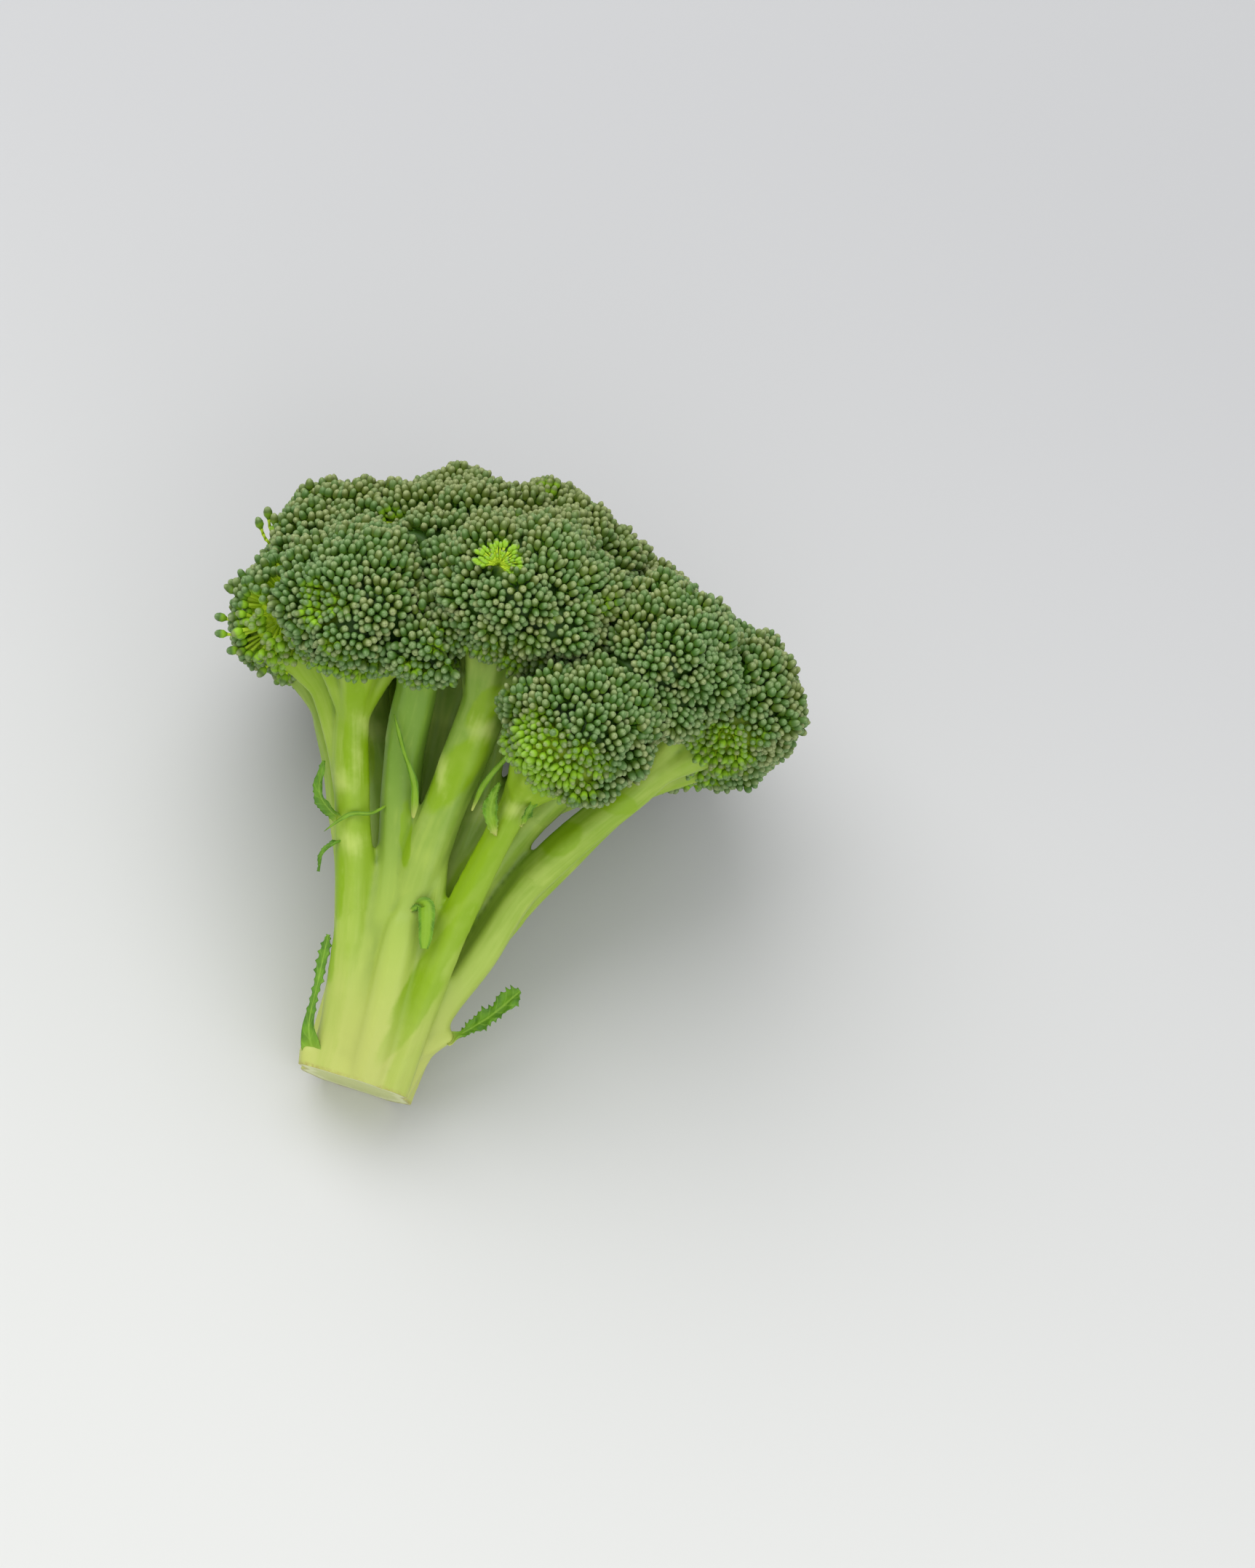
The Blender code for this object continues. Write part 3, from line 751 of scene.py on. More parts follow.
def branch_route(floret):
    """The centre line of a floret's branch, up into the floret, and its radii."""
    points, foot_radius, top_radius, _ = BRANCHES[floret.name]
    fork = FLORETS[floret.name][2]
    end_depth = floret.depth - POINT_CUT_OFF
    inside_depth = floret.depth - INSIDE_SHARE
    ends = np.array([(0, 0, -end_depth), (0, 0, -inside_depth)]) * floret.radius
    end, inside = floret.out(ends)
    route = curve([*points, fork, tuple(end)], TUBE_STEPS)
    share = np.linspace(0, 1, TUBE_STEPS + 1)
    waist = 1 - (1 - BRANCH_WAIST) * np.sin(math.pi * share)
    radii = (foot_radius + (top_radius - foot_radius) * share) * waist
    knots = np.sin(share * 13 + floret.phase) + np.sin(share * 27 - floret.phase)
    radii = radii * (1 + KNOT_SIZE * knots)
    route = np.vstack((route, end + (inside - end) * 0.5, inside))
    radii = np.append(radii, (top_radius, top_radius))
    depth = np.linalg.norm(route - floret.centre, axis=1) / floret.radius
    flare = 1 - ramp(depth, inside_depth, floret.depth - 0.05)
    return route, radii + (np.maximum(FLARE_WIDTH * floret.radius, radii) - radii) * flare**1.4


def add_fingers(pile, floret):
    """Short stems from the branch to the bunches round the floret's rim."""
    radius = floret.radius
    for middle in floret.middles[floret.middles[:, 2] < 0.45 * radius]:
        end_height = min(-(floret.depth - 0.75) * radius, middle[2] - 0.1 * radius)
        stops = [
            (middle[0] * 0.05, middle[1] * 0.05, -(floret.depth + 0.2) * radius),
            (middle[0] * 0.38, middle[1] * 0.38, -(floret.depth - 0.25) * radius),
            (middle[0] * 0.8, middle[1] * 0.8, end_height),
        ]
        route = floret.out(curve(stops, FINGER_STEPS))
        add_tube(pile, route, np.linspace(0.14, 0.12, FINGER_STEPS + 1) * radius)


lines = []
tubes = Pile()
for floret in florets:
    route, radii = branch_route(floret)
    add_tube(tubes, route, radii)
    add_fingers(tubes, floret)
    lines.append((route, radii, BRANCHES[floret.name][3]))
for points, foot_radius, top_radius, fresh in (HEART, LEAF_STUB, *WEBS_AND_FEET):
    route = curve(points, TUBE_STEPS)
    radii = foot_radius + (top_radius - foot_radius) * np.linspace(0, 1, TUBE_STEPS + 1) ** 2
    add_tube(tubes, route, radii)
    lines.append((route, radii, fresh))
print("tubes melted into the stalk:", len(lines), "with", tubes.count, "points")

# %% [markdown]
# ## Melting and softening
#
# A voxel remesh turns the overlapping tubes into one skin. Then each point moves a few times
# half way to the middle of its neighbours, which rounds off the seams. The same smoothing is
# used on numbers, so that a tint that belongs to one branch fades into the next.

# %% One skin
VOXEL = 0.85
SOFTEN_ROUNDS = 6


def melted(pile):
    """The points and faces of one skin round everything in the pile."""
    mesh = bpy.data.meshes.new("melting")
    mesh.from_pydata(np.vstack(pile.points).tolist(), [], pile.faces)
    obj = bpy.data.objects.new("melting", mesh)
    bpy.context.scene.collection.objects.link(obj)
    remesh = obj.modifiers.new("remesh", "REMESH")
    remesh.mode = "VOXEL"
    remesh.voxel_size = VOXEL
    bpy.context.view_layer.update()
    done = bpy.data.meshes.new_from_object(obj.evaluated_get(bpy.context.evaluated_depsgraph_get()))
    bpy.data.objects.remove(obj, do_unlink=True)
    return done


def array_of(collection, label, width, kind=np.float32):
    """One property of many mesh elements, a row for each."""
    numbers = np.empty(len(collection) * width, kind)
    collection.foreach_get(label, numbers)
    return numbers.reshape(-1, width)


def soften(values, edges, rounds):
    """Moves each value half way to the mean of its neighbours, again and again."""
    links = np.bincount(edges.ravel(), minlength=len(values))[:, None]
    values = values.astype(float)
    for _ in range(rounds):
        total = np.stack(
            [
                np.bincount(edges[:, 0], column[edges[:, 1]], len(values))
                + np.bincount(edges[:, 1], column[edges[:, 0]], len(values))
                for column in values.T
            ],
            axis=1,
        )
        values = values * 0.5 + total / links * 0.5
    return values


skin_mesh = melted(tubes)
edges = array_of(skin_mesh.edges, "vertices", 2, np.int32)
skin_points = soften(array_of(skin_mesh.vertices, "co", 3), edges, SOFTEN_ROUNDS)
print("stalk skin:", len(skin_points), "points")

# %% [markdown]
# ## Ribs, grooves and scars
#
# The skin of a stalk has faint ribs along each branch. For them every point needs to know its
# branch, how far along it is and at what angle round it, so the nearest centre line is looked
# up. Where leaves were torn off, a pale swollen scar is left.

# %% What every point of the stalk knows
POINTS_AT_ONCE = 4000
RIB_DEPTH = 0.2
SCAR_HEIGHT = 0.35
HOLLOW_GAIN = 8.0
HOLLOW_ROUNDS = 8
TINT_ROUNDS = 4
OUTWARD_LEAN = 0.32
SCARS = [
    # x, z, half width, half height
    (-28.4, 80.6, 4.2, 3.6),
    (-25.6, 96.8, 4.6, 3.4),
    (-2.6, 91.5, 1.8, 6.0),
    (4.5, 106.0, 4.4, 3.6),
    (10.5, 84.0, 3.6, 3.0),
    (19.8, 88.2, 3.4, 2.8),
    (-20.6, 65.5, 4.2, 3.6),
    (-26.0, 88.0, 1.6, 8.0),
]
FRESH_PATCHES = [
    # x, z, half width, half height
    (1.4, 93.0, 5.2, 12.0),
    (3.5, 112.0, 3.4, 7.0),
    (-28.5, 90.0, 2.2, 8.5),
    (-24.5, 88.5, 2.2, 7.5),
    (-31.0, 103.5, 2.6, 7.0),
    (-22.0, 56.0, 2.2, 12.0),
    (-19.0, 40.0, 1.8, 14.0),
    (-7.0, 72.0, 1.6, 9.0),
    (13.8, 70.0, 3.8, 15.0),
    (11.5, 42.0, 3.4, 20.0),
    (9.5, 24.0, 3.2, 14.0),
    (34.0, 84.0, 4.6, 5.5),
    (46.0, 98.0, 5.0, 3.0),
]


def nearest_line(points):
    """For each point: the line that it belongs to and its nearest stop. Then all the stops."""
    stops = np.vstack([route for route, _, _ in lines])
    radii = np.concatenate([radii for _, radii, _ in lines])
    owners = np.concatenate([np.full(len(route), i) for i, (route, _, _) in enumerate(lines)])
    found = []
    for part in np.array_split(points, max(1, len(points) // POINTS_AT_ONCE)):
        away = np.linalg.norm(part[:, None] - stops[None], axis=2) - radii
        found.append(away.argmin(axis=1))
    found = np.concatenate(found)
    return owners[found], found, stops


owner, stop, stops = nearest_line(skin_points)
way = unit(np.vstack([np.gradient(route, axis=0) for route, _, _ in lines]))[stop]
travel = np.concatenate([
    np.append(0, np.cumsum(np.linalg.norm(np.diff(route, axis=0), axis=1))) for route, _, _ in lines
])[stop]
off = skin_points - stops[stop]
travel = travel + (off * way).sum(axis=1)
off = off - way * (off * way).sum(axis=1)[:, None]
first, second = side_axes(way)
turn = np.arctan2((off * second).sum(axis=1), (off * first).sum(axis=1))
seeds = owner * 3.7
ribs = np.sin(5 * turn + seeds + travel * 0.02) + 0.4 * np.sin(9 * turn - seeds + travel * 0.035)
fresh = np.array([line[2] for line in lines])[owner]

normals = unit(array_of(skin_mesh.vertices, "normal", 3))


def spotted(spots):
    """How deep inside the nearest of some oval spots, on the front of the stalk, each point is."""
    found = np.zeros(len(skin_points))
    lean = skin_points[:, 2] * OUTWARD_LEAN
    for x, z, wide, high in spots:
        aside = (skin_points[:, 0] - x - (lean - z * OUTWARD_LEAN) * np.sign(x)) / wide
        spread = aside**2 + ((skin_points[:, 2] - z) / high) ** 2
        found = np.maximum(found, np.exp(-spread) * (skin_points[:, 1] < 0) * (normals[:, 1] < 0.2))
    return found


scar, patch = spotted(SCARS), spotted(FRESH_PATCHES)
ribs, fresh, scar, patch = soften(np.stack((ribs, fresh, scar, patch), axis=1), edges, TINT_ROUNDS).T
# How hollow the skin is at each point; the stalk material paints shade into the hollows by it.
bulge = soften(skin_points, edges, TINT_ROUNDS) - skin_points
hollow = np.clip((bulge * normals).sum(axis=1) * HOLLOW_GAIN, -1, 1)
hollow = soften(hollow[:, None], edges, HOLLOW_ROUNDS)[:, 0]
skin_points = skin_points + normals * (ribs * RIB_DEPTH + scar * SCAR_HEIGHT)[:, None]
grain = np.stack((np.cos(turn) * 5 + owner * 3.1, np.sin(turn) * 5, travel * 0.1), axis=1)

# %% [markdown]
# ## The cut end
#
# The foot is cut with a knife, a little slantwise, so that the front of its rim is some two
# millimetres higher than its middle. The cut shows a pale ring of fibres round a greener heart,
# and its edge has dried brown in places. The cut face's base colour is toned darker, partly its
# own colour and partly painted shade.

# %% Stalk object
CUT_RINGS = 14
CUT_BACK = (0.0, 6.0, 0.0)
CUT_WAY = (0.0, 0.16, 1.0)


def slanted_cut(mesh, points, vectors, values):
    """Cuts off the skin's foot. Returns its points, faces and numbers, and the rim in order."""
    made = bmesh.new()
    made.from_mesh(mesh)
    labels = list(values)
    layers = [made.verts.layers.float.new(label) for label in labels]
    grain_layer = made.verts.layers.float_vector.new("grain")
    for i, vert in enumerate(made.verts):
        vert.co = points[i]
        vert[grain_layer] = vectors[i]
        for label, layer in zip(labels, layers):
            vert[layer] = values[label][i]
    geometry = [*made.verts, *made.edges, *made.faces]
    cut = bmesh.ops.bisect_plane(
        made, geom=geometry, dist=1e-4, plane_co=CUT_BACK, plane_no=CUT_WAY, clear_inner=True
    )
    rim_edges = [edge for edge in cut["geom_cut"] if isinstance(edge, bmesh.types.BMEdge)]
    caps = bmesh.ops.edgeloop_fill(made, edges=rim_edges)["faces"]
    cap = max(caps, key=lambda face: face.calc_area())
    rim = np.array([vert.co for vert in cap.verts])
    bmesh.ops.delete(made, geom=caps, context="FACES_ONLY")
    made.verts.index_update()
    places_now = np.array([vert.co for vert in made.verts])
    faces = [[vert.index for vert in face.verts] for face in made.faces]
    grains = np.array([vert[grain_layer] for vert in made.verts])
    numbers = {label: np.array([vert[layer] for vert in made.verts]) for label, layer in zip(labels, layers)}
    made.free()
    return places_now, faces, grains, numbers, rim


values = {"fresh": fresh, "hollow": hollow, "scar": scar, "patch": patch}
points, faces, grain, values, rim = slanted_cut(skin_mesh, skin_points, grain, values)
bpy.data.meshes.remove(skin_mesh)

middle = rim.mean(axis=0)
if np.cross(rim[0] - middle, rim[1] - middle)[2] > 0:
    rim = rim[::-1]
shares = np.linspace(1, 0, CUT_RINGS + 1)[:-1]
face_points = np.vstack([middle + (rim - middle) * share for share in shares] + [middle[None]])
ring_share = np.append(np.repeat(shares, len(rim)), 0.0)
face_points[:, 2] += (1 - ring_share) * ring_share * 0.8
face_faces = []
for r in range(CUT_RINGS - 1):
    for k in range(len(rim)):
        n = (k + 1) % len(rim)
        low, high = r * len(rim), (r + 1) * len(rim)
        face_faces.append([low + k, low + n, high + n, high + k])
last = (CUT_RINGS - 1) * len(rim)
face_faces += [[last + k, last + (k + 1) % len(rim), len(face_points) - 1] for k in range(len(rim))]

stalk_pile = Pile()
rim_height = points[:, 2] + (points[:, 1] - CUT_BACK[1]) * CUT_WAY[1]
stalk_pile.add(points, faces, height=rim_height, cut=-1.0, **values)
blank = {label: 0.0 for label in values}
stalk_pile.add(face_points, face_faces, height=0.0, cut=ring_share, **blank)
stalk_piece = stalk_pile.make("stalk_skin", {"grain": np.vstack((grain, face_points * 0.5))})
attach(stalk_piece, "root")
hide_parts("stalk")
print("stalk faces:", len(stalk_piece.data.polygons))

# %% [markdown]
# ## Leaves
#
# The small leaves are thin blades that bend along a spine. A table gives each blade's spine, the
# way its upper face looks, its half width at a few places, how far its edges curl up, and how
# big its teeth are. Blades of real cabbage leaves have uneven teeth and a crinkled surface, so
# both edges get teeth of their own.

# %% Leaf blades
LEAF_STOPS = 48
LEAF_COLUMNS = 12
LEAF_THICK = 0.4
LEAVES = {
    # spine, upper face, half widths at shares of the length, curl, teeth in mm, crinkle,
    # paleness, and where the teeth begin
    "leaf_right": (
        [(20.9, -6, 21), (26, -7.5, 26), (31.5, -10, 33), (36, -12, 40.5)],
        (-0.5, -0.8, 0.35),
        [
            (0, 2.4), (0.1, 1.7), (0.2, 0.9), (0.3, 1.7), (0.5, 2.6),
            (0.62, 2.3), (0.8, 3.1), (0.92, 2.2), (1, 0.8),
        ],
        0.5, 1.1, 0.4, 0.1, 0.24,
    ),
    "leaf_left": (
        [(-11.4, -9.2, 4.0), (-16.4, -12.2, 13), (-18.0, -11.8, 27), (-19.2, -11.5, 39)],
        (-0.4, -0.9, 0.0),
        [
            (0, 1.6), (0.12, 2.9), (0.22, 2.9), (0.36, 1.7), (0.5, 0.8),
            (0.56, 0.8), (0.72, 1.4), (0.88, 1.2), (1, 0.3),
        ],
        0.4, 0.7, 0.15, 0.15, 0.45,
    ),
    "leaf_stub_flap": (
        [(2.6, -19.6, 53.4), (4.2, -22.4, 55.0), (5.8, -24.0, 51.0), (7.5, -24.2, 43.9)], (0.1, -1.0, 0.2),
        [(0, 1.8), (0.25, 2.6), (0.6, 2.6), (0.85, 2.1), (1, 1.0)], 0.85, 0.1, 0.05, 0.9,
    ),
    "leaf_edge_high": (
        [(-25.0, -19.0, 70.5), (-28.9, -21.0, 72), (-33.2, -22.5, 76), (-34.6, -23.0, 84.5)],
        (-0.8, -0.6, 0.1),
        [(0, 1.0), (0.3, 2.2), (0.7, 2.2), (1, 0.4)], 0.9, 0.3, 0.2, 0.2,
    ),
    "leaf_edge_low": (
        [(-21.5, -17.5, 65.0), (-24.8, -20.0, 64), (-27.4, -20.5, 60), (-26.8, -20.5, 55.0)],
        (-0.9, -0.4, 0.2),
        [(0, 1.3), (0.5, 1.2), (1, 0.4)], 1.0, 0.2, 0.1, 0.2,
    ),
    "bract_centre": (
        [(-6.4, -24.0, 77), (-9.0, -27.0, 86), (-14.5, -31.0, 94), (-19.8, -33.2, 102.5)], (0.3, -0.95, 0.0),
        [(0, 0.3), (0.15, 1.3), (0.4, 1.2), (0.62, 0.6), (0.8, 0.8), (1, 0.05)], 1.1, 0.0, 0.12, 0.8,
    ),
    "bract_right": (
        [(8.4, -31, 84), (9.4, -33, 92), (13.2, -35, 101), (17.8, -36, 107)], (0.1, -0.95, 0.0),
        [(0, 0.3), (0.3, 1.1), (0.7, 0.8), (1, 0.05)], 1.2, 0.0, 0.1, 0.8,
    ),
    "bract_low_left": (
        [(16.8, -31.4, 79.5), (13.6, -34.4, 85.0), (12.9, -35.0, 89.5), (13.4, -34.8, 94)],
        (-0.2, -0.95, 0.1),
        [(0, 0.3), (0.25, 2.0), (0.45, 2.4), (0.75, 1.1), (1, 0.1)], 0.9, 0.35, 0.35, 0.6,
    ),
    "bract_low_right": (
        [(22.6, -33.4, 84), (23.4, -36.4, 90), (25.4, -37.8, 96.5)], (0.5, -0.8, 0.1),
        [(0, 0.3), (0.4, 1.4), (0.7, 1.1), (1, 0.1)], 1.1, 0.25, 0.3, 0.6,
    ),
}
# Bracts too small for the CAD.
MORE_LEAVES = {
    "stub_frill": (
        [(0.6, -20.8, 52.6), (1.8, -21.8, 53.8), (3.2, -22.8, 54.2)], (0.1, -1.0, 0.3),
        [(0, 0.3), (0.5, 0.9), (1, 0.5)], 0.6, 0.2, 0.1, 0.55,
    ),
    "bract_upper": (
        [(-3.2, -26.5, 86), (-3.4, -28.5, 94), (-0.8, -29.5, 101.5)], (-0.2, -0.95, 0.0),
        [(0, 0.2), (0.3, 0.9), (0.7, 0.8), (1, 0.05)], 0.9, 0.0, 0.12, 0.6,
    ),
    "bract_across": (
        [(-12.8, -19.0, 80.5), (-17.5, -22.5, 75.0), (-23.5, -23.6, 72.5), (-28.6, -23.8, 66.0)],
        (0.2, -0.95, 0.2),
        [(0, 0.1), (0.3, 0.5), (0.7, 0.7), (1, 0.05)], 0.9, 0.0, 0.1, 0.65,
    ),
}


def blade(spine, upper, widths, curl, tooth, crinkle, paleness, first_tooth=0.1):
    """A thin toothed blade: its points, its faces and its numbers."""
    route = curve(spine, LEAF_STOPS)
    shares = np.linspace(0, 1, LEAF_STOPS + 1)
    ways = unit(np.gradient(route, axis=0))
    up = unit(np.array(upper) - ways * (ways @ np.array(upper))[:, None])
    side = np.cross(ways, up)
    half = np.interp(shares, *np.array(widths, float).T)
    half = (half + np.roll(half, 1) + np.roll(half, -1)) / 3
    span = np.linspace(-1, 1, LEAF_COLUMNS + 1)
    teeth = np.zeros((len(shares), 2))
    spikes = np.arange(round(first_tooth * LEAF_STOPS), LEAF_STOPS - 1, 3)
    teeth[spikes] = chance.uniform(0.2, 1.3, (len(spikes), 2)) * tooth
    reach = half[:, None] * np.abs(span) + teeth[:, (span > 0).astype(int)] * np.abs(span) ** 4
    bend = curl * np.abs(span)
    lateral = np.sign(span) * reach * np.sinc(bend / math.pi)
    lift = reach * (1 - np.cos(bend)) / np.maximum(bend, 1e-6)
    waves = np.sin(shares[:, None] * 31 + span * 3) + np.sin(shares[:, None] * 17 - span * 5 + 1)
    lift = lift + waves * crinkle * np.abs(span)
    top = route[:, None] + side[:, None] * lateral[..., None] + up[:, None] * lift[..., None]
    bottom = top - up[:, None] * LEAF_THICK
    rows = np.concatenate((top, bottom[:, ::-1]), axis=1)
    each = rows.shape[1]
    faces = []
    for i in range(LEAF_STOPS):
        for k in range(each):
            n = (k + 1) % each
            faces.append([i * each + k, i * each + n, (i + 1) * each + n, (i + 1) * each + k])
    faces.append(list(range(each))[::-1])
    faces.append([LEAF_STOPS * each + k for k in range(each)])
    across = np.tile(np.concatenate((span, span[::-1])), len(shares))
    along = np.repeat(shares, each)
    return rows.reshape(-1, 3), faces, {"across": across, "along": along, "pale": paleness}


leaf_pieces = []
for name, shape in {**LEAVES, **MORE_LEAVES}.items():
    points, faces, numbers = blade(*shape)
    pile = Pile()
    pile.add(points, faces, **numbers)
    piece = pile.make(f"blade_{name}")
    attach(piece, "root")
    if name in LEAVES:
        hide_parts(name)
    leaf_pieces.append(piece)
print("leaves:", len(leaf_pieces))

# %% [markdown]
# ## Shader maths as plain expressions
#
# A material is a small program of nodes. Written as calls that add and link nodes it is long
# and hard to read, so a value in a material is wrapped here, and adding or multiplying wrapped
# values adds the Math nodes that do it.

# %% Values and finishes
class Value:
    """A socket's value, on which plain maths makes Math nodes."""

    def __init__(self, finish, socket):
        self.finish, self.socket = finish, socket

    def maths(self, operation, *others):
        """Adds a Math node."""
        return self.finish.node("Math", {"operation": operation}, *others)

    def __add__(self, other):
        return self.maths("ADD", self, other)

    def __radd__(self, other):
        return self.maths("ADD", other, self)

    def __sub__(self, other):
        return self.maths("SUBTRACT", self, other)

    def __rsub__(self, other):
        return self.maths("SUBTRACT", other, self)

    def __mul__(self, other):
        return self.maths("MULTIPLY", self, other)

    def __rmul__(self, other):
        return self.maths("MULTIPLY", other, self)

    def within(self, low, high):
        """A smooth step from 0 at low to 1 at high."""
        settings = {"interpolation_type": "SMOOTHSTEP"}
        return self.finish.node("MapRange", settings, self, low, high, 0.0, 1.0)


class Finish:
    """A material whose nodes are made by expressions."""

    def __init__(self, name, roughness):
        self.material = bpy.data.materials.new(name)
        self.material.use_nodes = True
        self.tree = self.material.node_tree
        self.shader = self.tree.nodes["Principled BSDF"]
        self.shader.inputs["Roughness"].default_value = roughness

    def node(self, kind, settings=None, *inputs, out=0, **named):
        """Adds a node, sets it up, and fills its sockets in order or by name."""
        made = self.tree.nodes.new("ShaderNode" + kind)
        for label, setting in (settings or {}).items():
            setattr(made, label, setting)
        open_sockets = [socket for socket in made.inputs if socket.enabled]
        pairs = list(zip(open_sockets, inputs))
        pairs += [(made.inputs[label.replace("_", " ")], given) for label, given in named.items()]
        for socket, given in pairs:
            self.fill(socket, given)
        return Value(self, [socket for socket in made.outputs if socket.enabled][out])

    def fill(self, socket, given):
        """Links a value to a socket, or sets the socket to a plain number or colour."""
        if isinstance(given, Value):
            self.tree.links.new(given.socket, socket)
        elif given is not None:
            socket.default_value = given

    def wear(self, label, given):
        """Fills one of the shader's own sockets."""
        self.fill(self.shader.inputs[label], given)

    def attribute(self, label):
        """A number that the points carry."""
        return self.node("Attribute", {"attribute_name": label}, out=2)

    def attribute_vector(self, label):
        """A vector that the points carry."""
        return self.node("Attribute", {"attribute_name": label}, out=1)

    def place(self):
        """Where the shaded point is on the object, in metres."""
        return self.node("TexCoord", None, out=3)

    def along_y(self):
        """How far the shaded point is along Y, in metres."""
        return self.node("SeparateXYZ", None, self.place(), out=1)

    def noise(self, where, scale, detail=2.0, roughness=0.5):
        return self.node("TexNoise", None, where, Scale=scale, Detail=detail, Roughness=roughness)

    def mix(self, share, first, second):
        """A colour between two others."""
        return self.node("Mix", {"data_type": "RGBA"}, share, first, second)

    def bump(self, height, strength, distance):
        """Raises the skin where the height is greater."""
        made = self.node("Bump", None, Strength=strength, Distance=distance, Height=height)
        self.wear("Normal", made)


def paint(red, green, blue):
    """A colour given as it looks on screen, from 0 to 255, as the shader's linear numbers."""
    linear = [((c / 255 + 0.055) / 1.055) ** 2.4 if c > 10 else c / 255 / 12.92 for c in (red, green, blue)]
    return (*linear, 1.0)


# %% [markdown]
# ## The skin of the buds
#
# The buds are a dull grey-green, bluer low on the head and browner on top, with a waxy bloom
# that makes their tips pale. Towards its stem a bud turns yellow-green, and so does a whole
# young bud. Stems and the heart of a young floret are a fresh yellow-green. The heart of an
# older floret is painted a dark green, as painted shade deep between the buds.

# %% Bud material
BUD_GREEN = paint(66, 104, 34)
BUD_BROWN = paint(88, 104, 34)
BLOOM_BLUE = paint(140, 166, 112)
BLOOM_GREY = paint(156, 166, 112)
BUD_DIMPLE = paint(98, 102, 72)
BUD_YOUNG = paint(136, 180, 30)
STEM_YOUNG = paint(170, 200, 30)
STEM_DARK = paint(82, 134, 20)
HEART_PAINTED_SHADE = paint(54, 92, 14)


def bud_finish():
    """The material of buds, their stems and the heart behind them."""
    finish = Finish("bud_skin", 0.5)
    tip, seam, seed, youth = (finish.attribute(label) for label in ("tip", "seam", "seed", "youth"))
    where = finish.place()
    drift = finish.noise(where, 28.0, 2.0)
    top = finish.along_y().within(0.02, 0.08)
    tone = (drift * 0.9 + seed * 0.5 + top * 0.3 - 0.5).within(0.0, 0.6)
    skin = finish.mix(tone, BUD_GREEN, BUD_BROWN)
    mottle = finish.noise(where, 1400.0, 2.0)
    young = (youth * 2.1 - tip.within(0.35, 0.95) * 1.1 - seed * 0.45 + mottle * 0.3).within(0.0, 1.0)
    skin = finish.mix(young, skin, BUD_YOUNG)
    skin = finish.mix((1 - tip.within(0.1, 0.55)) * 0.45, skin, BUD_YOUNG)
    pale = tip.within(0.6, 0.98) * (0.15 + seed * 0.4 + seam * 0.45) * (1 - youth * 0.35)
    bloom = finish.mix(tone, BLOOM_BLUE, BLOOM_GREY)
    skin = finish.mix(pale * (0.5 + mottle), skin, bloom)
    skin = finish.mix(tip.within(1.02, 1.12) * seed.within(0.2, 0.7) * 0.8, skin, BUD_DIMPLE)
    stem = finish.mix(youth.within(0.05, 0.6), STEM_DARK, STEM_YOUNG)
    # An older floret's heart is painted dark green as painted shade deep between the buds; a young one's is
    # its own yellow-green.
    heart = finish.mix(youth.within(0.3, 0.9), HEART_PAINTED_SHADE, STEM_YOUNG)
    stem = finish.mix(tip.within(-1.6, -1.4), heart, stem)
    finish.wear("Base Color", finish.mix(tip.within(-0.6, -0.4), stem, skin))
    finish.wear("Roughness", 0.42 + mottle * 0.2)
    finish.wear("Specular IOR Level", 0.35)
    finish.bump(mottle, 0.25, 0.0002)
    return finish.material


bud_skin = bud_finish()
for piece in floret_pieces:
    piece.data.materials.append(bud_skin)
print("bud material nodes:", len(bud_skin.node_tree.nodes))

# %% [markdown]
# ## The skin of the stalk
#
# Low down the stalk is a pale yellow-green. Higher up each branch has its own green, in soft
# streaks that follow the grain, with paler clouds between them. Branches with a low fresh
# number, such as those set back in recesses, are a darker muted green, partly their own duller
# colour and partly painted shade. Fresh green patches run along some branches. Scars are pale,
# and the grooves are painted darker as painted shade. The skin is smooth and waxy.

# %% Stalk material
STALK_FOOT = paint(180, 188, 98)
STALK_PALE = paint(164, 186, 80)
STALK_MUTED_AND_SHADED = paint(114, 150, 50)
STALK_FRESH = paint(128, 164, 0)
STALK_GROOVE_SHADE = paint(80, 112, 40)
SCAR_PALE = paint(200, 214, 118)
CUT_PALE_AND_SHADE = paint(190, 198, 126)
CUT_FIBRE = paint(220, 224, 176)
CUT_BROWN = paint(156, 140, 76)


